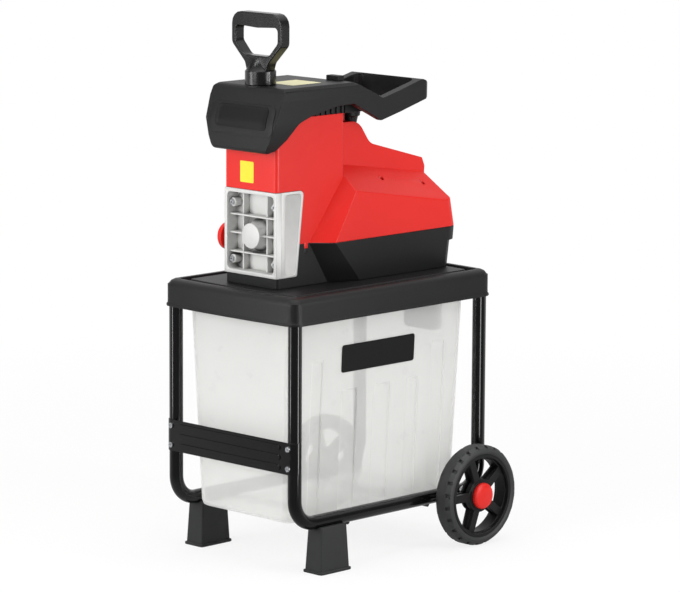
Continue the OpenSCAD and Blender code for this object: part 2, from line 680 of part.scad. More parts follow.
// Hood with the carrying loop. Side outline, front outline and plan are cut from each other
hood_side = [[-231, -61, 8], [-225, -4, 20], [-203, 56, 14], [-26, 56, 6], [44, 23, 14], [148, 50, 12],
  [172, 42, 14], [169, 16, 8], [46, -19, 12], [-30, 18, 6], [-70, 17, 10], [-134, 4, 20], [-164, -7, 20],
  [-184, -33, 20], [-203, -54, 10]];
module hood_front(g) {
  w = hood_w / 2 - g;
  polygon(both_flat([[w - 28, tower_top - 140], [w - 28, tower_top - 62], [w - 14, tower_top - 36],
    [w - 4, tower_top - 6], [w, hood_top - 22], [w - 2, hood_top - 6 - g], [w - 9, hood_top - g]]));
}
function both_flat(p) = concat(p, [for (i = [len(p) - 1:-1:0]) [-p[i][0], p[i][1]]]);
module hood() {
  half = hood_w / 2;
  color("#262626") placed() difference() {
    union() {
      difference() {
        intersection() {
          across(hood_w) polygon(rounded([for (p = hood_side) [p[0], p[1] + tower_top, p[2]]]));
          along(-260, 200) hood_front(0);
          translate([0, 0, tower_top - 80]) linear_extrude(200) polygon(rounded([[-half, -240, 20],
            [half, -240, 20], [half, 173, 26], [-half, 173, 26]]));
        }
        intersection() {
          across(hood_w) polygon([[-222, tower_top - 90], [-222, tower_top - 4], [-200, hood_top - 3],
            [hood_rear - 3, hood_top - 3], [hood_rear - 3, tower_top - 90]]);
          along(-260, hood_rear) hood_front(wall);
        }
        // Opening of the carrying loop
        translate([0, 0, tower_top - 90]) linear_extrude(220) polygon(rounded([[-loop_w / 2, hood_rear, 3],
          [loop_w / 2, hood_rear, 3], [loop_w / 2, 147, 18], [-loop_w / 2, 147, 18]]));
      }
      bar_z(feed_r + 3, 0, feed_y, plate_z, hood_top);
    }
    bar_z(feed_r, 0, feed_y, plate_z - 5, hood_top + 5);
  }
}

// Control box behind the hood, with its sloping panel toward the user
module box_side(g) {
  polygon([[panel_y + g, box_low + g], [panel_y + panel_run - g, box_low + g],
    [panel_y + panel_run - g, panel_z - panel_fall - g], [panel_y + g, panel_z - g]]);
}
// Draws on the panel: x across, y down the slope, z out of it
module on_panel(x, y) {
  placed() translate([0, panel_y, panel_z]) rotate([-panel_slope, 0, 0]) translate([x, y, 0]) children();
}
panel_places = [[-26, 30], [26, 30], [0, 64], [36, 66]];
module control_box() {
  color("#1f1f1f") difference() {
    placed() difference() {
      union() {
        across(120) box_side(0);
        // Tab hooked over the hood's rear edge
        block(23, 53, hood_rear - 12, hood_rear, hood_top, hood_top + 9);
        block(23, 53, hood_rear, hood_rear + 4, panel_z - 8, hood_top + 9);
      }
      across(115) box_side(2.5);
      bar_z(4.3, 0, knob_y, box_low - 1, box_low + 4);
    }
    for (p = panel_places) on_panel(p[0], p[1]) translate([0, 0, -6]) cylinder(r = button_r + 0.3, h = 12);
  }
}
module button(place, dome) {
  on_panel(place[0], place[1]) rotate_extrude() polygon([[0, -10], [button_r, -10], [button_r, 3],
    [button_r - 1.5, 4 + dome], [0, 4 + dome]]);
}
module start_button() {
  color("#2f9e44") button(panel_places[0], 0.5);
}
module stop_button() {
  color("#d62828") button(panel_places[1], 1.5);
}
module reverse_switch() {
  color("#222222") union() {
    button(panel_places[2], 0);
    on_panel(panel_places[2][0], panel_places[2][1]) translate([-2.5, -8, 3]) cube([5, 16, 7]);
  }
}
module reset_button() {
  color("#101010") button(panel_places[3], 0);
}
module hood_knob() {
  color("#1b1b1b") placed() difference() {
    union() {
      translate([0, knob_y, box_low - 27]) rotate_extrude() polygon([[0, 0], [13, 0], [13.5, 1], [15.5, 11],
        [19, 13], [20, 22.4], [9, 22.4], [9, 22.7], [0, 22.7]]);
      bar_z(4.2, 0, knob_y, box_low - 5, box_low + 7);
    }
    for (i = [0:9]) rotate_about(0, knob_y, i * 36) bar_z(2, 16.2, knob_y, box_low - 28, box_low - 15.5);
  }
}
module rotate_about(x, y, a) {
  translate([x, y, 0]) rotate(a) translate([-x, -y, 0]) children();
}
module power_inlet() {
  y = body_rear - 14.5;
  z = base_z + 28;
  color("#2e2e2e") placed() union() {
    difference() {
      union() {
        along(y - 24, y) translate([0, z]) polygon(box_outline(30, 24, 3.6));
        along(y + 1.9, y + 4.9) translate([0, z]) polygon(box_outline(46, 32, 5));
        along(y - 1, y + 2.5) translate([0, z]) polygon(box_outline(30, 24, 3.6));
      }
      along(y - 16, y + 6) translate([0, z]) polygon(box_outline(25, 18, 4));
    }
    for (p = [[-7, -2], [0, 3], [7, -2]]) bar_y([p[0], z + p[1]], 2, y - 18, y);
  }
}

// Pusher: a round shaft below the collar and a D grip above it
module pusher_grip() {
  neck = hood_top + 26;
  w = grip_w / 2;
  color("#1e1e1e") placed() difference() {
    union() {
      bar_z(collar_d / 2, 0, feed_y, hood_top, neck);
      translate([0, feed_y, neck]) cylinder(r1 = collar_d / 2 - 1, r2 = 3, h = 32, $fn = 12);
      along(feed_y - 11, feed_y + 11) polygon(rounded([[-24, neck - 2, 0], [24, neck - 2, 0], [30, neck + 14, 14],
        [w, neck + 46, 14], [w, neck + 102, 22], [-w, neck + 102, 22], [-w, neck + 46, 14], [-30, neck + 14, 14]]));
    }
    along(feed_y - 20, feed_y + 20) polygon(rounded([[-30, neck + 26, 14], [30, neck + 26, 14], [w - 10, neck + 50, 10],
      [w - 10, neck + 78, 8], [0, neck + 75, 60], [-w + 10, neck + 78, 8], [-w + 10, neck + 50, 10]]));
    bar_z(14, 0, feed_y, hood_top - 1, hood_top + 12);
  }
}
module pusher_shaft() {
  low = hood_top - 110;
  tip = 17;
  color("#262626") placed() union() {
    bar_z(14 - fit, 0, feed_y, hood_top - 14, hood_top + 11.8);
    for (a = [0, 90]) rotate_about(0, feed_y, a) block(-tip, tip, feed_y - 2, feed_y + 2, low, hood_top - 1);
    bar_z(tip, 0, feed_y, low, low + 6);
    bar_z(feed_r - 3, 0, feed_y, hood_top - 12, hood_top - 6);
  }
}

// Drum, its pressure plate and the adjuster
module drum() {
  pitch = 360 / drum_blades;
  core = drum_r - 7;
  color("#6f7276") placed() difference() {
    translate([0, 0, drum_z]) along(drum_y0, drum_y1) polygon([for (k = [0:drum_blades - 1]) each [
      drum_r * [cos(k * pitch), sin(k * pitch)],
      drum_r * [cos(k * pitch + 5), sin(k * pitch + 5)],
      (core + 1) * [cos(k * pitch + 24), sin(k * pitch + 24)],
      core * [cos(k * pitch + pitch - 6), sin(k * pitch + pitch - 6)],
      core * [cos(k * pitch + pitch), sin(k * pitch + pitch)]]]);
    bar_y(drum_axis, 12, drum_y0 - 1, drum_y1 + 1);
    block(-3, 3, drum_y0 - 1, drum_y1 + 1, drum_z, drum_z + 15);
  }
}
module drum_shaft() {
  color("#9a9da0") placed() union() {
    bar_y(drum_axis, 8.5 - fit, tower_front + 11, case_rear - 2);
    bar_y(drum_axis, 12 - fit, drum_y0 - 1, drum_y1 + 1);
    block(-3 + fit, 3 - fit, drum_y0 + 10, drum_y1 - 10, drum_z, drum_z + 15 - fit);
  }
}
module output_gear() {
  y0 = plate_rear + 8;
  color("#7a7d80") placed() difference() {
    union() {
      gear(drum_axis, output_m, gear_z, lay_angle, y0, y0 + 30);
    }
    for (y = [y0 - 1, y0 + 22]) difference() {
      bar_y(drum_axis, 46, y, y + 9);
      bar_y(drum_axis, 18, y - 1, y + 10);
    }
    bar_y(drum_axis, 8.5, y0 - 1, y0 + 31);
  }
}
module pressure_plate() {
  reach = drum_r + plate_gap;
  color("#85888b") placed() difference() {
    block(-chamber_x + 0.3, -24, drum_y0, drum_y1, drum_z - 37, drum_z + 26);
    bar_y(drum_axis, reach, drum_y0 - 1, drum_y1 + 1);
    bar_x(5.1, -chamber_x - 1, -chamber_x + 8, screw_y, screw_z);
  }
}
module adjuster_screw() {
  color("#a2a5a8") placed() union() {
    bar_x(5, -tower_w / 2 - 40, -chamber_x + 7.2, screw_y, screw_z);
    bar_x(7.5, -tower_w / 2 - 23, -tower_w / 2 - 20.3, screw_y, screw_z);
  }
}
module adjuster_knob() {
  x0 = -tower_w / 2 - 46;
  color("#d9332b") placed() difference() {
    union() {
      translate([x0, screw_y, screw_z]) rotate([0, 90, 0]) rotate_extrude()
        polygon(rounded([[0, 0, 0], [25.5, 0, 5], [25.5, 12, 2], [14, 12, 0], [14, 22.5, 0], [0, 22.5, 0]], 6));
    }
    bar_x(5 + fit, x0 + 5.9, x0 + 30, screw_y, screw_z);
  }
}

// Gear train and motor
module drum_bearings() {
  color("#b9bcc0") placed() {
    bearing(drum_axis, 17, 35, tower_front + 11, tower_front + 21);
    bearing(drum_axis, 17, 35, chamber_rear + 1.5, plate_rear - 0.5);
  }
}
module layshaft_bearings() {
  color("#b9bcc0") placed() {
    bearing(lay_axis, 12, 26, chamber_rear + 3.5, plate_rear - 0.5);
    bearing(lay_axis, 12, 26, flange_rear - 8.5, flange_rear - 0.5);
  }
}
module motor_bearings() {
  color("#b9bcc0") placed() {
    bearing(motor_axis, 17, 35, flange_rear - 8.5, flange_rear + 0.5);
    bearing(motor_axis, 15, 32, shield_y + 0.5, shield_y + 9.5);
  }
}
module gear_case_outline(g) {
  translate(drum_axis) circle(r = 61 - g);
  translate(lay_axis) circle(r = 17 - g);
}
module gear_case() {
  color("#b0b2b4") placed() along(plate_rear, case_rear) difference() {
    gear_case_outline(0);
    gear_case_outline(2.8);
  }
}
module motor_flange() {
  color("#b0b2b4") placed() difference() {
    union() {
      along(case_rear, flange_rear) {
        translate(motor_axis) circle(r = stator_r);
        translate(lay_axis) circle(r = 46.5);
        translate(drum_axis) circle(r = 50);
      }
      bar_y(motor_axis, stator_r, flange_rear - 1, stator_y0);
    }
    along(case_rear - 1, flange_rear - 10) {
      translate(lay_axis) circle(r = 43.8);
      translate(motor_axis) circle(r = 12);
      translate(drum_axis) circle(r = 20);
    }
    bar_y(motor_axis, stator_r - 5, flange_rear, stator_y0 + 1);
    bar_y(lay_axis, 13, flange_rear - 9, flange_rear + 1);
    bar_y(lay_axis, 9, flange_rear - 20, flange_rear);
    bar_y(motor_axis, 17.5, flange_rear - 9, flange_rear + 1);
    bar_y(motor_axis, 11, flange_rear - 20, flange_rear);
  }
}
module layshaft() {
  y0 = plate_rear + 6;
  color("#8b8e92") placed() union() {
    bar_y(lay_axis, 6 - fit, chamber_rear + 3.5, flange_rear - 0.5);
    gear(lay_axis, output_m, lay_pinion_z, lay_angle + 180, y0, y0 + 34, gap = true);
  }
}
module layshaft_gear() {
  y0 = case_rear + 3;
  color("#d7cba6") placed() difference() {
    gear(lay_axis, motor_m, lay_gear_z, motor_angle, y0, y0 + 12);
    for (y = [y0 - 1, y0 + 9]) difference() {
      bar_y(lay_axis, 36, y, y + 4);
      bar_y(lay_axis, 14, y - 1, y + 5);
    }
    bar_y(lay_axis, 6, y0 - 1, y0 + 13);
  }
}
module motor_shaft() {
  color("#9a9da0") placed() union() {
    gear(motor_axis, motor_m, motor_pinion_z, motor_angle + 180, case_rear + 2, case_rear + 16, gap = true);
    bar_y(motor_axis, 5.5, case_rear + 2, flange_rear);
    bar_y(motor_axis, 8.5 - fit, flange_rear - 8.5, shield_y - 2);
    bar_y(motor_axis, 7.5 - fit, shield_y - 3, fan_y + 22);
  }
}
module rotor() {
  color("#7d7f83") placed() difference() {
    union() {
      bar_y(motor_axis, stator_r - 25, stator_y0, stator_y1);
      bar_y(motor_axis, stator_r - 28, stator_y0 - 6, stator_y1 + 6);
    }
    bar_y(motor_axis, 8.5, stator_y0 - 10, stator_y1 + 10);
  }
}
module motor_stator() {
  color("#5f6368") placed() difference() {
    bar_y(motor_axis, stator_r, stator_y0, stator_y1);
    bar_y(motor_axis, stator_r - 24.4, stator_y0 - 1, stator_y1 + 1);
    for (i = [0:23]) translate([0, 0, motor_axis[1]]) rotate([0, i * 15, 0])
      block(-2, 2, stator_y0 - 1, stator_y1 + 1, stator_r - 26, stator_r - 11);
  }
}
module motor_windings() {
  color("#b87333") placed() for (y = [[stator_y0 - 14, stator_y0], [stator_y1, stator_y1 + 14]]) difference() {
    bar_y(motor_axis, stator_r - 8, y[0], y[1]);
    bar_y(motor_axis, stator_r - 23, y[0] - 1, y[1] + 1);
  }
}
module rear_shield() {
  color("#b0b2b4") placed() difference() {
    bar_y(motor_axis, stator_r, stator_y1, shield_y + 10);
    bar_y(motor_axis, stator_r - 5, stator_y1 - 1, shield_y);
    bar_y(motor_axis, 16, shield_y + 0.4, shield_y + 11);
    bar_y(motor_axis, 10, shield_y - 1, shield_y + 2);
    for (i = [0:5]) translate([0, 0, motor_axis[1]]) rotate([0, i * 60, 0])
      bar_y([0, stator_r - 21], 10, shield_y - 1, shield_y + 11);
  }
}
module fan() {
  color("#2a2a2a") placed() difference() {
    union() {
      bar_y(motor_axis, 14, fan_y, fan_y + 20);
      bar_y(motor_axis, 48, fan_y, fan_y + 2.5);
      for (i = [0:7]) translate([0, 0, motor_axis[1]]) rotate([0, i * 45, 0])
        block(-1.2, 1.2, fan_y, fan_y + 18, 12, 47);
    }
    bar_y(motor_axis, 7.5, fan_y - 1, fan_y + 21);
  }
}
cap_z = motor_axis[1] + stator_r + 25;
module capacitor() {
  color("#d8d8d8") placed() union() {
    bar_y([0, cap_z], 18, stator_y0 - 16, stator_y0 + 54);
    bar_y([0, cap_z], 14, stator_y0 + 54, stator_y0 + 57);
    for (x = [-5, 5]) block(x - 1, x + 1, stator_y0 + 57, stator_y0 + 67, cap_z - 3, cap_z + 3);
  }
}
module capacitor_clip() {
  color("#3a3a3a") placed() difference() {
    block(-22, 22, stator_y0 + 6, stator_y0 + 32, motor_axis[1] + stator_r - 6, cap_z);
    bar_y(motor_axis, stator_r + fit, stator_y0, stator_y1);
    bar_y([0, cap_z], 18 + fit, stator_y0, stator_y1);
  }
}

// Chip bin: a tapered tub with shallow flutes, a latch and its slide
function bin_ring(z, inset, depth = 0) =
  let (t = (z - bin_z) / (bin_top - bin_z), w = (bin_low_w + (bin_w - bin_low_w) * t) / 2 - inset)
  let (l = (bin_l - 18 + 18 * t) / 2 - inset, r = 22 - inset)
  let (bow = function(y) w + 1.5 * (1 - y * y / (l - r) / (l - r)))
  let (side = [for (f = bin_flutes) let (a = f[0] - bin_mid, b = f[1] - bin_mid, d = z < f[2] ? depth : 0)
    each [[bow(a - 2), a - 2], [bow(a) - d, a], [bow(b) - d, b], [bow(b + 2), b + 2]]])
  let (near = [for (t = [0:22.5:90]) [w - r, l - r] + r * [cos(t), sin(t)]])
  let (far = [for (t = [90:22.5:180]) [r - w, l - r] + r * [cos(t), sin(t)]])
  let (half = concat(side, near, far))
  // The other half is this one turned half round
  [for (s = [1, -1], p = half) [s * p.x, s * p.y + bin_mid, z]];
bin_mid = -3;
// Upright flutes in the sides as [front edge, rear edge, top]
bin_flutes = [[-174, -150, bin_top - 72], [-97, -61, bin_top - 134], [-14, 23, bin_top - 134],
  [70, 96, bin_top - 134], [134, 164, bin_top - 72]];
function bin_rings(g) = [bin_ring(bin_z + g, g + 9), bin_ring(bin_z + 3 + g, g + 3),
  bin_ring(bin_z + 10 + g, g), bin_ring(bin_z + 24, g, 3), bin_ring(bin_top - 140, g, 3),
  bin_ring(bin_top - 132, g, 3), bin_ring(bin_top - 78, g, 3), bin_ring(bin_top - 70, g), bin_ring(bin_top, g)];
// One skin that climbs the outside, crosses the rim and goes down inside to the floor
module bin() {
  inner = bin_rings(bin_wall);
  color("#e4e4e2") placed() skin(concat(bin_rings(0), [for (i = [len(inner) - 1:-1:0]) inner[i]]));
}
latch_x = 21;
latch_y = bin_l / 2 + bin_mid;
strike_y = min(latch_y + 16, deck_l / 2 - 4);
// The latch plate lies on the bin's sloping rear wall
module bin_latch() {
  drop = 80;
  lean = 9 * drop / (bin_top - bin_z);
  color("#5a6a78") placed() difference() {
    intersection() {
      along(latch_y - 5, latch_y + 14) translate([latch_x, bin_top - 40]) polygon(box_outline(82, 66, 10));
      across(84, latch_x) polygon([[latch_y + 0.05, bin_top], [latch_y - lean + 0.05, bin_top - drop],
        [latch_y + 14, bin_top - drop], [latch_y + 14, bin_top]]);
    }
    block(latch_x - 12.3, latch_x + 12.3, latch_y + 6, latch_y + 20, bin_top - 60, bin_top);
  }
}
module latch_slider() {
  color("#d9332b") placed() union() {
    block(latch_x - 12, latch_x + 12, latch_y + 6.2, latch_y + 13, bin_top - 59, bin_top - 6);
    block(latch_x - 9, latch_x + 9, latch_y + 12, latch_y + 20, bin_top - 50, bin_top - 42);
  }
}

frame_loop();  // frame_loop_right
mirror([1, 0, 0]) frame_loop();  // frame_loop_left
front_crossbar();
crossbar_screws();
bin_rods();
foot();  // foot_right
mirror([1, 0, 0]) foot();  // foot_left
foot_screws();
wheel_bolts();
deck();
deck_screws();
lower_housing();
upper_housing();
housing_screws();
gear_cover();
cover_screws();
chamber_frame();
feed_chute();
hood();
control_box();
power_inlet();
adjuster_bush();
drum_bearings();
layshaft_bearings();
motor_bearings();
gear_case();
motor_flange();
motor_stator();
motor_windings();
rear_shield();
capacitor();
capacitor_clip();
wheel_rim();  // wheel_rim_right
tyre();  // tyre_right
hubcap();  // hubcap_right
mirror([1, 0, 0]) wheel_rim();  // wheel_rim_left
mirror([1, 0, 0]) tyre();  // tyre_left
mirror([1, 0, 0]) hubcap();  // hubcap_left
bin();
bin_latch();
latch_slider();
pusher_grip();
pusher_shaft();
adjuster_knob();
adjuster_screw();
pressure_plate();
drum();
drum_shaft();
output_gear();
layshaft();
layshaft_gear();
rotor();
motor_shaft();
fan();
start_button();
stop_button();
reverse_switch();
reset_button();
hood_knob();
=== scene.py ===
import json
import math

import bpy
from mathutils import Matrix, Vector


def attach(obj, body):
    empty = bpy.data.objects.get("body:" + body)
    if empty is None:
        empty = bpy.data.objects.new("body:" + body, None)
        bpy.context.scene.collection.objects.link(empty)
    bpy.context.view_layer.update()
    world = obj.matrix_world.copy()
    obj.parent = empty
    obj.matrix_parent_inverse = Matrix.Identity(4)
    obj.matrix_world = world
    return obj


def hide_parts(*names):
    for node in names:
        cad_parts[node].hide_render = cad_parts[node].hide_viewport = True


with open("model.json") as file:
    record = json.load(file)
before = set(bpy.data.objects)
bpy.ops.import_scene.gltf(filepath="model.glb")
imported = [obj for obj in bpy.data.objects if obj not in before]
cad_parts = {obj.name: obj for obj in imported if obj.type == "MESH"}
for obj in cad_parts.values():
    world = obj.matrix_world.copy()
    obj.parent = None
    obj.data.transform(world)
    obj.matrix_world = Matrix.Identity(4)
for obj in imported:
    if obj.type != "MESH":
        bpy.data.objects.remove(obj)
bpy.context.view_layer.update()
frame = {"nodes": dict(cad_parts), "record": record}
nodes = frame["nodes"]
mm = 0.001

# Studio. The machine stands on a pale floor that runs out of view on every side.
# The camera has a long lens and looks at the front right corner from a little above.
view_side, view_height, view_roll = math.radians(44.471), math.radians(9.363), math.radians(0.302)
view_distance = 6.88983
view_target = Vector((0.014123, 0.005801, 0.458495))
back = Vector((math.sin(view_side) * math.cos(view_height),
               -math.cos(view_side) * math.cos(view_height), math.sin(view_height)))
level = Vector((math.cos(view_side), math.sin(view_side), 0))
upright = back.cross(level)
right = level * math.cos(view_roll) + upright * math.sin(view_roll)
up = upright * math.cos(view_roll) - level * math.sin(view_roll)
eye = bpy.data.cameras.new("studio_camera")
film_width, picture_width, focal_length = 36, 680, 3793.84  # the first in mm, the others in pixels
eye.sensor_fit, eye.sensor_width = "HORIZONTAL", film_width
eye.lens = film_width * focal_length / picture_width
eye.clip_end = 60
camera = bpy.data.objects.new("studio_camera", eye)
camera.matrix_world = Matrix.Translation(view_target + back * view_distance) @ Matrix(
    (right, up, back)).transposed().to_4x4()
bpy.context.scene.collection.objects.link(camera)
bpy.context.scene.camera = camera
bpy.context.scene.view_settings.view_transform = "Standard"

# Two tall soft boxes stand beside the machine, front left and right, with a wide weak one in front,
# under an even light from overhead. Two low strips only show as lines in the gloss of the tubes.
for name, spot, size, power, spreads in (
        ("left_soft_box", (-0.80, -1.45, 1.05), (0.15, 1.3), 6, True),
        ("front_soft_box", (0.10, -2.50, 1.20), (1.0, 1.0), 22, True),
        ("right_soft_box", (1.55, 0.50, 1.00), (0.22, 1.2), 12, True),
        ("left_strip", (-0.50, -1.45, 0.46), (0.20, 0.9), 5, False),
        ("right_strip", (0.97, -0.07, 0.46), (0.20, 0.9), 4.5, False)):
    lamp = bpy.data.lights.new(name, "AREA")
    lamp.shape, lamp.energy = "RECTANGLE", power
    lamp.size, lamp.size_y = size
    holder = bpy.data.objects.new(name, lamp)
    holder.location = spot
    holder.rotation_euler = (Vector(spot) - Vector((0, 0, 0.5))).to_track_quat("Z", "Y").to_euler()
    holder.visible_camera = False
    holder.visible_diffuse = spreads
    bpy.context.scene.collection.objects.link(holder)
lamp = bpy.data.lights.new("overhead_light", "SUN")
lamp.energy, lamp.angle = 1.1, math.radians(50)
bpy.context.scene.collection.objects.link(bpy.data.objects.new("overhead_light", lamp))


def linear(code):
    """Linear colour of an sRGB hex value."""
    parts = [int(code[i:i + 2], 16) / 255 for i in (1, 3, 5)]
    return tuple(c / 12.92 if c <= 0.04045 else ((c + 0.055) / 1.055) ** 2.4 for c in parts) + (1.0,)


def add(tree, kind, settings=None, **inputs):
    """Adds a node. An input is a value, or another node's output to link to it. It is called by its
    name, with _ for a space, or by _ and its number."""
    made = tree.nodes.new(kind)
    for key, value in (settings or {}).items():
        setattr(made, key, value)
    for key, value in inputs.items():
        socket = made.inputs[int(key[1:])] if key[0] == "_" else made.inputs[key.replace("_", " ")]
        if isinstance(value, bpy.types.NodeSocket):
            tree.links.new(value, socket)
        else:
            socket.default_value = value
    return made


def start_material(name):
    """An empty node material with its output node."""
    made = bpy.data.materials.new(name)
    made.use_nodes = True
    made.node_tree.nodes.clear()
    return made, made.node_tree, made.node_tree.nodes.new("ShaderNodeOutputMaterial")


# The room is plain white to the camera. A mirrored ray finds the white backdrop behind the machine,
# a lit ceiling straight above it, and the dim half of the room behind the camera.
world = bpy.data.worlds.new("studio_world")
bpy.context.scene.world = world
world.use_nodes = True
tree = world.node_tree
tree.nodes.clear()
rays = add(tree, "ShaderNodeLightPath")
toward_camera = (back.x, back.y, 0)
sight = add(tree, "ShaderNodeNewGeometry").outputs["Incoming"]
ahead = add(tree, "ShaderNodeVectorMath", {"operation": "DOT_PRODUCT"}, _0=sight, _1=toward_camera)
room = add(tree, "ShaderNodeMapRange", None, Value=ahead.outputs["Value"], From_Min=0.35, From_Max=0.9,
           To_Min=0.15, To_Max=1.0)
above = add(tree, "ShaderNodeVectorMath", {"operation": "DOT_PRODUCT"}, _0=sight, _1=(0, 0, -1))
ceiling = add(tree, "ShaderNodeMapRange", None, Value=above.outputs["Value"], From_Min=0.45,
              From_Max=0.85, To_Min=0.0, To_Max=1.4)
room = add(tree, "ShaderNodeMath", {"operation": "MAXIMUM"}, _0=room.outputs[0], _1=ceiling.outputs[0])
mirrored = add(tree, "ShaderNodeMapRange", None, Value=rays.outputs["Is Glossy Ray"], To_Min=0.45,
               To_Max=room.outputs[0])
seen = add(tree, "ShaderNodeMath", {"operation": "MAXIMUM"}, _0=rays.outputs["Is Camera Ray"],
           _1=rays.outputs["Is Transmission Ray"])
strength = add(tree, "ShaderNodeMapRange", None, Value=seen.outputs[0], To_Min=mirrored.outputs[0],
               To_Max=1.0)
sky = add(tree, "ShaderNodeBackground", None, Color=linear("#FFFFFF"), Strength=strength.outputs[0])
tree.links.new(sky.outputs[0], add(tree, "ShaderNodeOutputWorld").inputs["Surface"])

# The floor is matt white board. The camera sees it brighter than its light alone gives, more so far
# away, and it keeps the machine's soft shadow.
bpy.ops.object.select_all(action="DESELECT")
bpy.ops.mesh.primitive_plane_add(size=60)
floor = bpy.context.object
floor.name = "studio_floor"
floor_board, tree, output = start_material("matt_white_board")
rays = add(tree, "ShaderNodeLightPath")
seen = add(tree, "ShaderNodeMath", {"operation": "MAXIMUM"}, _0=rays.outputs["Is Camera Ray"],
           _1=rays.outputs["Is Transmission Ray"])
seen = add(tree, "ShaderNodeMath", {"operation": "MAXIMUM"}, _0=seen.outputs[0],
           _1=rays.outputs["Is Glossy Ray"])
place = add(tree, "ShaderNodeTexCoord").outputs["Object"]
away = add(tree, "ShaderNodeVectorMath", {"operation": "LENGTH"}, _0=place)
whitened = add(tree, "ShaderNodeMapRange", None, Value=away.outputs["Value"], From_Min=0.6,
               From_Max=2.2, To_Min=0.82, To_Max=1.0)
share = add(tree, "ShaderNodeMath", {"operation": "MULTIPLY"}, _0=seen.outputs[0],
            _1=whitened.outputs[0])
nearer = add(tree, "ShaderNodeVectorMath", {"operation": "DOT_PRODUCT"}, _0=place, _1=toward_camera)
room = add(tree, "ShaderNodeMapRange", None, Value=nearer.outputs["Value"], From_Min=-0.5, From_Max=0.5,
           To_Min=0.9, To_Max=0.2)
dimming = add(tree, "ShaderNodeMapRange", None, Value=rays.outputs["Is Glossy Ray"], To_Min=1.0,
              To_Max=room.outputs[0])
fibre = add(tree, "ShaderNodeTexNoise", None, Vector=place, Scale=3.0)
shade = add(tree, "ShaderNodeMapRange", None, Value=fibre.outputs["Fac"], To_Min=0.90, To_Max=0.92)
board_tone = add(tree, "ShaderNodeMath", {"operation": "MULTIPLY"}, _0=shade.outputs[0],
                 _1=dimming.outputs[0])
board = add(tree, "ShaderNodeBsdfDiffuse", None, Color=board_tone.outputs[0])
glow = add(tree, "ShaderNodeEmission", None, Color=linear("#FFFFFF"), Strength=dimming.outputs[0])
both = add(tree, "ShaderNodeMixShader", None, Fac=share.outputs[0], _1=board.outputs[0],
           _2=glow.outputs[0])
tree.links.new(both.outputs[0], output.inputs["Surface"])
floor.data.materials.append(floor_board)

# Stand. Two loops of round steel tube and two rods under the bin, powder coated gloss black.
# The coat lies smooth, with the faint ripple that powder leaves when it flows out in the oven.
powder_coat, tree, output = start_material("black_powder_coat")
place = add(tree, "ShaderNodeTexCoord").outputs["Object"]
ripple = add(tree, "ShaderNodeTexNoise", None, Vector=place, Scale=1 / (3 * mm), Detail=2.0)
dust = add(tree, "ShaderNodeTexNoise", None, Vector=place, Scale=1 / (25 * mm), Detail=5.0)
tone = add(tree, "ShaderNodeMix", {"data_type": "RGBA"}, _0=dust.outputs["Fac"],
           _6=linear("#060607"), _7=linear("#0B0B0C"))
gloss = add(tree, "ShaderNodeMapRange", None, Value=dust.outputs["Fac"], From_Min=0.3, From_Max=0.7,
            To_Min=0.10, To_Max=0.17)
swell = add(tree, "ShaderNodeBump", None, Strength=0.06, Distance=0.1 * mm,
            Height=ripple.outputs["Fac"])
coat = add(tree, "ShaderNodeBsdfPrincipled", None, Base_Color=tone.outputs[2],
           Roughness=gloss.outputs[0], Normal=swell.outputs[0], IOR=1.5)
tree.links.new(coat.outputs[0], output.inputs["Surface"])


def dress(material, *names):
    """Gives CAD nodes their finish."""
    for name in names:
        nodes[name].data.materials.clear()
        nodes[name].data.materials.append(material)


def flat_edges(mesh, cuts):
    """Edges inside each flat face of a mesh. A face with a hole in it is left in two or more pieces,
    and cuts name planes, as an axis and a place on it, that part the faces they cross."""
    beside = {}
    for face in mesh.polygons:
        for key in face.edge_keys:
            beside.setdefault(key, []).append(face.index)
    number = {edge.key: edge.index for edge in mesh.edges}

    def groups(faces, same):
        left, found = set(faces), []
        while left:
            first = left.pop()
            group, open_ends = [first], [first]
            while open_ends:
                for key in mesh.polygons[open_ends.pop()].edge_keys:
                    for other in beside[key]:
                        if other in left and same(first, other):
                            left.remove(other)
                            group.append(other)
                            open_ends.append(other)
            found.append(group)
        return found

    def one_plane(a, b):
        a, b = mesh.polygons[a], mesh.polygons[b]
        parallel = 0.99999  # least cosine between two normals
        return a.normal.dot(b.normal) > parallel and all(
            (a.center[axis] > place) == (b.center[axis] > place) for axis, place in cuts)

    waiting, chosen = groups(range(len(mesh.polygons)), one_plane), []
    while waiting:
        group = waiting.pop()
        keys = [key for face in group for key in mesh.polygons[face].edge_keys]
        corners = {corner for key in keys for corner in key}
        if len(corners) - len(set(keys)) + len(group) == 1:
            chosen += [number[key] for key in set(keys) if keys.count(key) == 2]
        elif len(group) > 1:
            centres = {face: mesh.polygons[face].center for face in group}
            spans = [max(along) - min(along) for along in zip(*centres.values())]
            k = spans.index(max(spans))
            order = sorted(group, key=lambda face: (centres[face][k], face))
            for part in (order[:len(order) // 2], order[len(order) // 2:]):
                waiting += groups(part, lambda a, b: True)
    return chosen


def outer_edges(mesh, limit):
    """Weight 1 on each outward edge that is sharper than the limit, 0 on the others."""
    beside = {}
    for face in mesh.polygons:
        for key in face.edge_keys:
            beside.setdefault(key, []).append(face)
    weights = mesh.attributes.new("bevel_weight_edge", "FLOAT", "EDGE")
    for edge in mesh.edges:
        faces = beside.get(edge.key, [])
        if len(faces) == 2:
            a, b = faces
            sharp = a.normal.angle(b.normal, 0) > math.radians(limit)
            along = mesh.vertices[edge.vertices[1]].co - mesh.vertices[edge.vertices[0]].co
            i = list(a.vertices).index(edge.vertices[0])
            if a.vertices[(i + 1) % len(a.vertices)] != edge.vertices[1]:
                along = -along
            into_a = a.normal.cross(along)
            weights.data[edge.index].value = float(sharp and into_a.dot(b.normal) < 0)


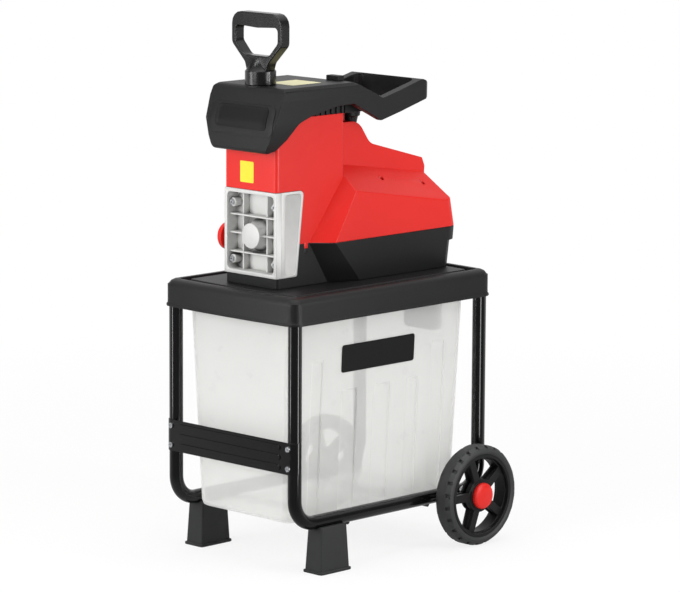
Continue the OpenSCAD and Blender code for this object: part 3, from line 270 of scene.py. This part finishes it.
def moulded(node, name, material, width, segments=2, limit=30, cuts=(), crease=35, flat_walls=True):
    """A copy of a CAD node with its sharp edges rounded, as the tool that makes the piece leaves them.
    Width is in mm. Edges sharper than limit are rounded, and shading breaks past crease, in degrees.
    The copy rides on the node's body and stands for it."""
    bpy.ops.object.select_all(action="DESELECT")
    piece = bpy.data.objects.new(name, nodes[node].data.copy())
    bpy.context.scene.collection.objects.link(piece)
    bpy.context.view_layer.objects.active = piece
    piece.select_set(True)
    bpy.ops.object.mode_set(mode="EDIT")
    bpy.ops.mesh.select_all(action="SELECT")
    bpy.ops.mesh.remove_doubles(threshold=0.01 * mm)
    for axis, place in cuts:
        point = [0, 0, 0]
        point[axis] = 1
        bpy.ops.mesh.select_all(action="SELECT")
        bpy.ops.mesh.bisect(plane_co=[place * c for c in point], plane_no=point)
    bpy.ops.mesh.select_all(action="DESELECT")
    bpy.ops.mesh.select_mode(type="EDGE")
    bpy.ops.object.mode_set(mode="OBJECT")
    for line in flat_edges(piece.data, cuts):
        piece.data.edges[line].select = True
    bpy.ops.object.mode_set(mode="EDIT")
    bpy.ops.mesh.dissolve_edges(use_verts=False)
    bpy.ops.object.mode_set(mode="OBJECT")
    outer_edges(piece.data, limit)
    edge = piece.modifiers.new("rounded_edges", "BEVEL")
    edge.width, edge.segments = width * mm, segments
    edge.limit_method = "WEIGHT"
    edge.use_clamp_overlap = False
    edge.miter_outer = "MITER_ARC"
    bpy.ops.object.modifier_apply(modifier=edge.name)
    bpy.ops.object.shade_smooth_by_angle(angle=math.radians(crease))
    # Flat walls shade evenly up to their rounded edges
    if flat_walls:
        even = piece.modifiers.new("even_walls", "WEIGHTED_NORMAL")
        even.keep_sharp, even.weight = True, 100
        bpy.ops.object.modifier_apply(modifier=even.name)
    piece.data.materials.clear()
    piece.data.materials.append(material)
    record = frame["record"]
    body = next(b for b, members in record["behaviour"]["bodies"].items() if node in members)
    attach(piece, body)
    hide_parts(node)


dress(powder_coat, "frame_loop_right", "frame_loop_left", "bin_rods")
moulded("front_crossbar", "cross_plate", powder_coat, 0.5)

# Screws and wheel bolts. Cold headed steel, screwed into the castings, the mouldings and the tubes.
# Their bright zinc plating mirrors the room, but clouds from the bath break the mirror up.
zinc, tree, output = start_material("bright_zinc_plating")
place = add(tree, "ShaderNodeTexCoord").outputs["Object"]
cloud = add(tree, "ShaderNodeTexNoise", None, Vector=place, Scale=1 / (2 * mm), Detail=3.0)
tone = add(tree, "ShaderNodeMix", {"data_type": "RGBA"}, _0=cloud.outputs["Fac"],
           _6=linear("#B9BCC0"), _7=linear("#DADCDF"))
gloss = add(tree, "ShaderNodeMapRange", None, Value=cloud.outputs["Fac"], To_Min=0.18, To_Max=0.36)
plating = add(tree, "ShaderNodeBsdfPrincipled", None, Base_Color=tone.outputs[2], Metallic=1.0,
              Roughness=gloss.outputs[0])
tree.links.new(plating.outputs[0], output.inputs["Surface"])
dress(zinc, "crossbar_screws", "foot_screws", "deck_screws", "housing_screws", "cover_screws",
      "wheel_bolts")

# Feet. Hollow injection mouldings in black polypropylene that take the rails in their tops.
# They are screwed to the rails from below.
# Their grain is coarser than the housings', so they scatter more light and look a little greyer.
coarse_black, tree, output = start_material("coarse_grained_polypropylene")
place = add(tree, "ShaderNodeTexCoord").outputs["Object"]
bloom = add(tree, "ShaderNodeTexNoise", None, Vector=place, Scale=1 / (15 * mm), Detail=5.0)
tone = add(tree, "ShaderNodeMix", {"data_type": "RGBA"}, _0=bloom.outputs["Fac"],
           _6=linear("#1D1E1E"), _7=linear("#252626"))
gloss = add(tree, "ShaderNodeMapRange", None, Value=bloom.outputs["Fac"], To_Min=0.55, To_Max=0.75)
plastic = add(tree, "ShaderNodeBsdfPrincipled", None, Base_Color=tone.outputs[2],
              Roughness=gloss.outputs[0], IOR=1.49)
tree.links.new(plastic.outputs[0], output.inputs["Surface"])
moulded("foot_right", "right_foot", coarse_black, 1.2, segments=3)
moulded("foot_left", "left_foot", coarse_black, 1.2, segments=3)

# Wheels. A blocky tyre of hard black rubber on a spoked rim, which turns on a shoulder bolt.
# A red cap snaps into the hub and hides the bolt.
# The rims are black polypropylene, and the tool's spark erosion leaves an even matt grain on them.
black_grain, tree, output = start_material("grained_black_polypropylene")
place = add(tree, "ShaderNodeTexCoord").outputs["Object"]
# The grain is about 0.3 mm on the machine, and is drawn at 1.2 mm so that it shows
grain = add(tree, "ShaderNodeTexNoise", None, Vector=place, Scale=1 / (1.2 * mm), Detail=2.0,
            Roughness=0.6)
flow = add(tree, "ShaderNodeTexNoise", None, Vector=place, Scale=1 / (60 * mm), Detail=4.0)
tone = add(tree, "ShaderNodeMix", {"data_type": "RGBA"}, _0=flow.outputs["Fac"],
           _6=linear("#0F0F10"), _7=linear("#151516"))
gloss = add(tree, "ShaderNodeMapRange", None, Value=grain.outputs["Fac"], From_Min=0.3, From_Max=0.7,
            To_Min=0.42, To_Max=0.56)
pits = add(tree, "ShaderNodeBump", None, Strength=0.16, Distance=0.12 * mm, Height=grain.outputs["Fac"])
plastic = add(tree, "ShaderNodeBsdfPrincipled", None, Base_Color=tone.outputs[2],
              Roughness=gloss.outputs[0], Normal=pits.outputs[0], IOR=1.49, Specular_IOR_Level=0.3)
tree.links.new(plastic.outputs[0], output.inputs["Surface"])
# The tyre's skin is finely scuffed, so it stays dull where the rim has a sheen
tyre_rubber, tree, output = start_material("hard_tyre_rubber")
place = add(tree, "ShaderNodeTexCoord").outputs["Object"]
scuff = add(tree, "ShaderNodeTexNoise", None, Vector=place, Scale=1 / (6 * mm), Detail=6.0)
tone = add(tree, "ShaderNodeMix", {"data_type": "RGBA"}, _0=scuff.outputs["Fac"],
           _6=linear("#232424"), _7=linear("#2F3030"))
gloss = add(tree, "ShaderNodeMapRange", None, Value=scuff.outputs["Fac"], To_Min=0.5, To_Max=0.7)
skin = add(tree, "ShaderNodeBump", None, Strength=0.2, Distance=0.15 * mm, Height=scuff.outputs["Fac"])
rubber = add(tree, "ShaderNodeBsdfPrincipled", None, Base_Color=tone.outputs[2],
             Roughness=gloss.outputs[0], Normal=skin.outputs[0], IOR=1.52)
tree.links.new(rubber.outputs[0], output.inputs["Surface"])
# The red ABS is full in colour, with a soft sheen where it turns toward a lamp
red_abs, tree, output = start_material("satin_red_abs")
place = add(tree, "ShaderNodeTexCoord").outputs["Object"]
# Its grain is about 0.2 mm on the machine, and is drawn at 1 mm so that it shows
grain = add(tree, "ShaderNodeTexNoise", None, Vector=place, Scale=1 / (1.0 * mm), Detail=2.0)
flow = add(tree, "ShaderNodeTexNoise", None, Vector=place, Scale=1 / (80 * mm), Detail=3.0)
tone = add(tree, "ShaderNodeMix", {"data_type": "RGBA"}, _0=flow.outputs["Fac"],
           _6=linear("#DB1B14"), _7=linear("#E2231A"))
gloss = add(tree, "ShaderNodeMapRange", None, Value=grain.outputs["Fac"], From_Min=0.3, From_Max=0.7,
            To_Min=0.30, To_Max=0.40)
pits = add(tree, "ShaderNodeBump", None, Strength=0.06, Distance=0.1 * mm, Height=grain.outputs["Fac"])
plastic = add(tree, "ShaderNodeBsdfPrincipled", None, Base_Color=tone.outputs[2],
              Roughness=gloss.outputs[0], Normal=pits.outputs[0], IOR=1.54, Specular_IOR_Level=0.3)
tree.links.new(plastic.outputs[0], output.inputs["Surface"])
for side in ("right", "left"):
    moulded("tyre_" + side, side + "_tyre", tyre_rubber, 1.0)
    moulded("wheel_rim_" + side, side + "_rim", black_grain, 0.8)
    moulded("hubcap_" + side, side + "_cap", red_abs, 0.8)

# Deck. A black tray with a rounded rim and a drain groove round the platform that carries the machine.
# It is one moulding in the rims' grained plastic, and takes the tops of the four tubes in sockets.
moulded("deck", "deck_tray", black_grain, 0.8)

# Chip bin. A tub moulded from milky polypropylene, with upright flutes in its side walls.
# It slides on the rods between the loops.
# Light passes and scatters in the wall, so what lies behind shows only as a soft haze.
milky, tree, output = start_material("milky_polypropylene")
place = add(tree, "ShaderNodeTexCoord").outputs["Object"]
haze = add(tree, "ShaderNodeTexNoise", None, Vector=place, Scale=1 / (45 * mm), Detail=4.0)
tone = add(tree, "ShaderNodeMix", {"data_type": "RGBA"}, _0=haze.outputs["Fac"],
           _6=linear("#FAFAFA"), _7=linear("#FFFFFE"))
gloss = add(tree, "ShaderNodeMapRange", None, Value=haze.outputs["Fac"], To_Min=0.24, To_Max=0.34)
skin = add(tree, "ShaderNodeBsdfPrincipled", None, Base_Color=tone.outputs[2],
           Roughness=gloss.outputs[0], IOR=1.49)
depth = add(tree, "ShaderNodeBsdfTranslucent", None, Color=tone.outputs[2])
milk = add(tree, "ShaderNodeMixShader", None, Fac=0.4, _1=skin.outputs[0], _2=depth.outputs[0])
clear = add(tree, "ShaderNodeBsdfTransparent", None, Color=linear("#FDFDFC"))
slant = add(tree, "ShaderNodeLayerWeight", None, Blend=0.5)
depth_seen = add(tree, "ShaderNodeMapRange", None, Value=slant.outputs["Facing"], From_Min=0.2,
                 To_Min=0.3, To_Max=0.8)
wall = add(tree, "ShaderNodeMixShader", None, Fac=depth_seen.outputs[0], _1=clear.outputs[0],
           _2=milk.outputs[0])
tree.links.new(wall.outputs[0], output.inputs["Surface"])
moulded("bin", "chip_bin", milky, 0.6, limit=40)
# A bare plate of black vinyl follows the curve of the bin's right wall. It is smooth but dull.
vinyl, tree, output = start_material("black_vinyl_film")
place = add(tree, "ShaderNodeTexCoord").outputs["Object"]
film = add(tree, "ShaderNodeTexNoise", None, Vector=place, Scale=1 / (12 * mm), Detail=3.0)
tone = add(tree, "ShaderNodeMix", {"data_type": "RGBA"}, _0=film.outputs["Fac"],
           _6=linear("#070708"), _7=linear("#0C0C0D"))
gloss = add(tree, "ShaderNodeMapRange", None, Value=film.outputs["Fac"], To_Min=0.40, To_Max=0.50)
sheet_skin = add(tree, "ShaderNodeBsdfPrincipled", None, Base_Color=tone.outputs[2],
                 Roughness=gloss.outputs[0], IOR=1.53, Specular_IOR_Level=0.2)
tree.links.new(sheet_skin.outputs[0], output.inputs["Surface"])


def laid_plate(name, material, body, under, facing, centre, size, corner, thick, rim=0.0,
               strips=1, rows=1):
    """A thin plate with round corners: a plane pressed onto a surface and given its thickness.
    Facing is the axis it looks along, with its sign, and size is across and up."""
    axis, sign = facing
    bpy.ops.object.select_all(action="DESELECT")
    bpy.ops.mesh.primitive_plane_add(size=1)
    piece = bpy.context.object
    piece.name = name
    bpy.ops.object.mode_set(mode="EDIT")
    bpy.ops.mesh.select_all(action="SELECT")
    across, upward = (size[1], size[0]) if axis == "X" else size
    bpy.ops.transform.resize(value=(across, upward, 1))
    bpy.ops.mesh.bevel(offset=corner, segments=6, affect="VERTICES")
    for count, along, span in ((strips, int(axis == "X"), size[0]), (rows, int(axis != "X"), size[1])):
        for k in range(1, count):
            line = [0, 0, 0]
            line[along] = 1
            bpy.ops.mesh.select_all(action="SELECT")
            bpy.ops.mesh.bisect(plane_co=[span * (k / count - 0.5) * c for c in line], plane_no=line)
    bpy.ops.mesh.select_all(action="SELECT")
    if axis != "Z":
        bpy.ops.transform.rotate(value=math.radians(90), orient_axis="Y" if axis == "X" else "X",
                                 center_override=(0, 0, 0))
    bpy.ops.transform.translate(value=centre)
    bpy.ops.object.mode_set(mode="OBJECT")
    press = piece.modifiers.new("pressed_on", "SHRINKWRAP")
    press.target, press.wrap_method = nodes[under], "PROJECT"
    press.use_project_x, press.use_project_y = axis == "X", axis == "Y"
    press.use_project_z = axis == "Z"
    press.use_negative_direction, press.use_positive_direction = sign > 0, sign < 0
    bpy.ops.object.modifier_apply(modifier=press.name)
    bpy.ops.object.mode_set(mode="EDIT")
    bpy.ops.mesh.select_all(action="SELECT")
    outward = [sign * thick if letter == axis else 0 for letter in "XYZ"]
    bpy.ops.mesh.extrude_region_move(TRANSFORM_OT_translate={"value": outward})
    if rim:
        sunk = 0.4  # share of the thickness by which the panel lies below its rim
        bpy.ops.mesh.inset(thickness=rim, depth=0)
        bpy.ops.transform.translate(value=[-sunk * c for c in outward])
    bpy.ops.mesh.select_all(action="SELECT")
    bpy.ops.mesh.normals_make_consistent(inside=False)
    bpy.ops.object.mode_set(mode="OBJECT")
    edge = piece.modifiers.new("rolled_edge", "BEVEL")
    edge.width, edge.segments, edge.limit_method = 0.3 * thick, 2, "ANGLE"
    edge.angle_limit = math.radians(50)
    bpy.ops.object.modifier_apply(modifier=edge.name)
    bpy.ops.object.shade_smooth_by_angle(angle=math.radians(35))
    piece.data.materials.append(material)
    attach(piece, body)


laid_plate("bin_plate", vinyl, body="bin", under="bin", facing=("X", 1),
           centre=(0.16, -0.0175, 0.372), size=(0.187, 0.050), corner=5 * mm, thick=0.8 * mm,
           rim=3 * mm, strips=12, rows=3)
# The latch on the rear wall is matt blue grey plastic, with a red slide that locks under the deck
latch_blue, tree, output = start_material("blue_grey_polypropylene")
place = add(tree, "ShaderNodeTexCoord").outputs["Object"]
grain = add(tree, "ShaderNodeTexNoise", None, Vector=place, Scale=1 / (1.2 * mm), Detail=2.0)
tone = add(tree, "ShaderNodeMix", {"data_type": "RGBA"}, _0=grain.outputs["Fac"],
           _6=linear("#4C5B69"), _7=linear("#5B6B7A"))
plastic = add(tree, "ShaderNodeBsdfPrincipled", None, Base_Color=tone.outputs[2], Roughness=0.45,
              IOR=1.49)
tree.links.new(plastic.outputs[0], output.inputs["Surface"])
moulded("bin_latch", "latch_plate", latch_blue, 1.0)
moulded("latch_slider", "latch_slide_grip", red_abs, 0.8)

# Lower housing. The black half of the motor and chamber housing, with the mains inlet at its rear.
# It is moulded in the deck's grained plastic and stands on the deck's platform.
moulded("lower_housing", "lower_shell", black_grain, 1.2, crease=10)
moulded("power_inlet", "mains_inlet", black_grain, 0.5)

# Upper housing. The red half, one satin moulding from the feed tower to the motor's tail.
# It sits on the lower half and is held by screws in round recesses.
moulded("upper_housing", "upper_shell", red_abs, 1.3, segments=3, limit=20, crease=18)
# A small tongue of it catches in a dark slot of the lower half, beside the gear cover
housing_side, catch_y, catch_thick, catch_width = 66 * mm, -134.5 * mm, 3 * mm, 9 * mm
catch_round = 0.5 * mm
for name, material, slot, low, high, out in (
        ("catch_tongue", red_abs, "red_plastic", 566.5, 577, 0.9),
        ("catch_slot", black_grain, "black_plastic", 557, 566, 0.5)):
    bpy.ops.object.select_all(action="DESELECT")
    bpy.ops.mesh.primitive_cube_add(size=1)
    piece = bpy.context.object
    piece.name = name
    bpy.ops.object.mode_set(mode="EDIT")
    bpy.ops.mesh.select_all(action="SELECT")
    bpy.ops.transform.resize(value=(catch_thick, catch_width, (high - low) * mm))
    bpy.ops.transform.translate(value=(housing_side - catch_thick / 2 + out * mm, catch_y,
                                       (low + high) / 2 * mm))
    bpy.ops.mesh.bevel(offset=catch_round, segments=2, affect="EDGES")
    bpy.ops.object.mode_set(mode="OBJECT")
    bpy.ops.object.shade_smooth_by_angle(angle=math.radians(35))
    piece.data.materials.append(material)
    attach(piece, "stand")
# The label on its front is bare film with a satin face, so its yellow stays even
yellow, tree, output = start_material("yellow_label_film")
place = add(tree, "ShaderNodeTexCoord").outputs["Object"]
film = add(tree, "ShaderNodeTexNoise", None, Vector=place, Scale=1 / (6 * mm), Detail=3.0)
tone = add(tree, "ShaderNodeMix", {"data_type": "RGBA"}, _0=film.outputs["Fac"],
           _6=linear("#EFD614"), _7=linear("#F7E32A"))
sheet_skin = add(tree, "ShaderNodeBsdfPrincipled", None, Base_Color=tone.outputs[2], Roughness=0.35,
                 IOR=1.53)
tree.links.new(sheet_skin.outputs[0], output.inputs["Surface"])
laid_plate("front_label", yellow, body="stand", under="upper_housing",
           facing=("Y", -1), centre=(-0.0085, -0.25, 0.703), size=(0.034, 0.038), corner=2 * mm,
           thick=0.3 * mm, rim=1.2 * mm)

# Gear cover. A ribbed aluminium die casting, bolted to the chamber behind it.
# The cast skin scatters most of its light, so it reads as pale grey with only a soft metal sheen.
cast, tree, output = start_material("die_cast_aluminium")
place = add(tree, "ShaderNodeTexCoord").outputs["Object"]
# The grit of the cast skin is about 0.3 mm, and is drawn at 1 mm so that it shows
grit = add(tree, "ShaderNodeTexNoise", None, Vector=place, Scale=1 / (1.0 * mm), Detail=3.0)
stain = add(tree, "ShaderNodeTexNoise", None, Vector=place, Scale=1 / (18 * mm), Detail=4.0)
tone = add(tree, "ShaderNodeMix", {"data_type": "RGBA"}, _0=stain.outputs["Fac"],
           _6=linear("#C8C8C6"), _7=linear("#D6D6D4"))
# Painted shade: an occlusion mask darkens the corners and hollows, which sets the ribs and the boss off
corner = add(tree, "ShaderNodeAmbientOcclusion", {"samples": 12}, Distance=16 * mm)
painted_corner_shade = add(tree, "ShaderNodeMapRange", None, Value=corner.outputs["AO"], From_Min=0.24,
                From_Max=0.54)
tone = add(tree, "ShaderNodeMix", {"data_type": "RGBA"}, _0=painted_corner_shade.outputs[0],
           _6=linear("#4A4A49"), _7=tone.outputs[2])
gloss = add(tree, "ShaderNodeMapRange", None, Value=stain.outputs["Fac"], To_Min=0.52, To_Max=0.68)
pits = add(tree, "ShaderNodeBump", None, Strength=0.12, Distance=0.1 * mm, Height=grit.outputs["Fac"])
metal = add(tree, "ShaderNodeBsdfPrincipled", None, Base_Color=tone.outputs[2], Metallic=0.30,
            Roughness=gloss.outputs[0], Normal=pits.outputs[0])
tree.links.new(metal.outputs[0], output.inputs["Surface"])
# Its walls run into each other softly, as the draft and radii of a casting do
moulded("gear_cover", "gear_cover_casting", cast, 0.8, flat_walls=False)
dress(cast, "chamber_frame", "gear_case", "motor_flange", "rear_shield", "capacitor")

# Adjuster. A plain round red knob on a steel screw that pushes the pressure plate toward the drum.
# The screw, shafts and gears are cut from bar, and the cutter's marks blur what they mirror.
steel, tree, output = start_material("machined_steel")
place = add(tree, "ShaderNodeTexCoord").outputs["Object"]
turning = add(tree, "ShaderNodeTexNoise", None, Vector=place, Scale=1 / (1.5 * mm), Detail=3.0)
tone = add(tree, "ShaderNodeMix", {"data_type": "RGBA"}, _0=turning.outputs["Fac"],
           _6=linear("#85888C"), _7=linear("#A2A5A9"))
gloss = add(tree, "ShaderNodeMapRange", None, Value=turning.outputs["Fac"], To_Min=0.25, To_Max=0.42)
metal = add(tree, "ShaderNodeBsdfPrincipled", None, Base_Color=tone.outputs[2], Metallic=1.0,
            Roughness=gloss.outputs[0])
tree.links.new(metal.outputs[0], output.inputs["Surface"])
moulded("adjuster_knob", "adjuster_grip", red_abs, 0.6)
dress(steel, "adjuster_bush", "adjuster_screw", "pressure_plate", "drum", "drum_shaft", "output_gear",
      "layshaft", "motor_shaft", "drum_bearings", "layshaft_bearings", "motor_bearings")

# Feed chute, hood and control box. Black mouldings stacked on the feed tower, in the grained plastic.
# The hood's tail ends in the carrying loop, and a clamp knob under the box holds it down.
moulded("feed_chute", "feed_funnel", black_grain, 0.6)
moulded("hood", "hood_shell", black_grain, 1.3, segments=3, limit=22, crease=16)
# The hood's badge is a bare panel on a low pad of the moulding. The label on top is bare satin film.
laid_plate("badge_pad", black_grain, body="stand", under="hood",
           facing=("Y", -1), centre=(0.0015, -0.3, 0.800), size=(0.162, 0.056), corner=14 * mm,
           thick=1.0 * mm, strips=14, rows=12)
laid_plate("hood_badge", vinyl, body="stand", under="hood",
           facing=("Y", -1), centre=(0.0015, -0.3, 0.804), size=(0.128, 0.040), corner=8 * mm,
           thick=2.4 * mm, rim=4 * mm, strips=12, rows=10)
cream, tree, output = start_material("cream_label_film")
place = add(tree, "ShaderNodeTexCoord").outputs["Object"]
film = add(tree, "ShaderNodeTexNoise", None, Vector=place, Scale=1 / (6 * mm), Detail=3.0)
tone = add(tree, "ShaderNodeMix", {"data_type": "RGBA"}, _0=film.outputs["Fac"],
           _6=linear("#E9E2A2"), _7=linear("#F3EDBD"))
sheet_skin = add(tree, "ShaderNodeBsdfPrincipled", None, Base_Color=tone.outputs[2], Roughness=0.4,
                 IOR=1.53)
tree.links.new(sheet_skin.outputs[0], output.inputs["Surface"])
laid_plate("hood_label", cream, body="stand", under="hood",
           facing=("Z", 1), centre=(0.020, -0.118, 0.95), size=(0.064, 0.072), corner=2 * mm,
           thick=0.3 * mm, rim=1.2 * mm)
moulded("control_box", "control_housing", black_grain, 1.0)
moulded("hood_knob", "clamp_grip", black_grain, 0.6)

# Buttons. A green start button, a red stop button, a small reset button and the reverse switch.
# They are mouldings of their own that press or turn in the control box, and the green one is polished.
start_green, tree, output = start_material("glossy_green_abs")
place = add(tree, "ShaderNodeTexCoord").outputs["Object"]
flow = add(tree, "ShaderNodeTexNoise", None, Vector=place, Scale=1 / (8 * mm), Detail=2.0)
tone = add(tree, "ShaderNodeMix", {"data_type": "RGBA"}, _0=flow.outputs["Fac"],
           _6=linear("#1F7A33"), _7=linear("#27893C"))
plastic = add(tree, "ShaderNodeBsdfPrincipled", None, Base_Color=tone.outputs[2], Roughness=0.25,
              IOR=1.54)
tree.links.new(plastic.outputs[0], output.inputs["Surface"])
moulded("start_button", "start_key", start_green, 0.6)
moulded("stop_button", "stop_key", red_abs, 0.6)
moulded("reset_button", "reset_key", black_grain, 0.6)
moulded("reverse_switch", "reverse_lever", black_grain, 0.6)

# Pusher. A black D grip on a collar, over the ribbed shaft that drives branches down the chute.
# Its mould was polished, so it shines more than the grained pieces.
black_satin, tree, output = start_material("satin_black_polypropylene")
place = add(tree, "ShaderNodeTexCoord").outputs["Object"]
flow = add(tree, "ShaderNodeTexNoise", None, Vector=place, Scale=1 / (30 * mm), Detail=4.0)
tone = add(tree, "ShaderNodeMix", {"data_type": "RGBA"}, _0=flow.outputs["Fac"],
           _6=linear("#0B0B0C"), _7=linear("#111112"))
gloss = add(tree, "ShaderNodeMapRange", None, Value=flow.outputs["Fac"], To_Min=0.22, To_Max=0.28)
plastic = add(tree, "ShaderNodeBsdfPrincipled", None, Base_Color=tone.outputs[2],
              Roughness=gloss.outputs[0], IOR=1.49)
tree.links.new(plastic.outputs[0], output.inputs["Surface"])
moulded("pusher_grip", "push_handle", black_satin, 2.0, segments=3, cuts=((0, 0.0),))
dress(black_grain, "pusher_shaft", "fan", "capacitor_clip")

# Drive. The motor's iron and windings and a nylon gear, all out of sight in the housings.
# The iron is a stack of punched sheets, so its sides are striped. They are about 0.5 mm thick, and the
# stripes are drawn at 3 mm so that they show.
iron, tree, output = start_material("laminated_iron")
place = add(tree, "ShaderNodeTexCoord").outputs["Object"]
sheets = add(tree, "ShaderNodeTexWave", {"bands_direction": "Y"}, Vector=place,
             Scale=1 / (3 * mm) / math.tau)
tone = add(tree, "ShaderNodeMix", {"data_type": "RGBA"}, _0=sheets.outputs["Fac"],
           _6=linear("#4A4C4F"), _7=linear("#6B6E72"))
metal = add(tree, "ShaderNodeBsdfPrincipled", None, Base_Color=tone.outputs[2], Metallic=1.0,
            Roughness=0.5)
tree.links.new(metal.outputs[0], output.inputs["Surface"])
dress(iron, "motor_stator", "rotor")
# The wire's enamel is clear and brown, over copper. Its 0.6 mm strands are drawn at 1.5 mm to show.
copper, tree, output = start_material("enamelled_copper_wire")
place = add(tree, "ShaderNodeTexCoord").outputs["Object"]
strands = add(tree, "ShaderNodeTexNoise", None, Vector=place, Scale=1 / (1.5 * mm), Detail=2.0)
tone = add(tree, "ShaderNodeMix", {"data_type": "RGBA"}, _0=strands.outputs["Fac"],
           _6=linear("#8E4E22"), _7=linear("#BE7A40"))
metal = add(tree, "ShaderNodeBsdfPrincipled", None, Base_Color=tone.outputs[2], Metallic=1.0,
            Roughness=0.35)
tree.links.new(metal.outputs[0], output.inputs["Surface"])
dress(copper, "motor_windings")
# The nylon is a waxy cream, slightly cloudy
nylon, tree, output = start_material("cast_nylon")
place = add(tree, "ShaderNodeTexCoord").outputs["Object"]
cloud = add(tree, "ShaderNodeTexNoise", None, Vector=place, Scale=1 / (10 * mm), Detail=3.0)
tone = add(tree, "ShaderNodeMix", {"data_type": "RGBA"}, _0=cloud.outputs["Fac"],
           _6=linear("#CFC39C"), _7=linear("#E0D6B4"))
plastic = add(tree, "ShaderNodeBsdfPrincipled", None, Base_Color=tone.outputs[2], Roughness=0.45,
              IOR=1.53)
tree.links.new(plastic.outputs[0], output.inputs["Surface"])
dress(nylon, "layshaft_gear")
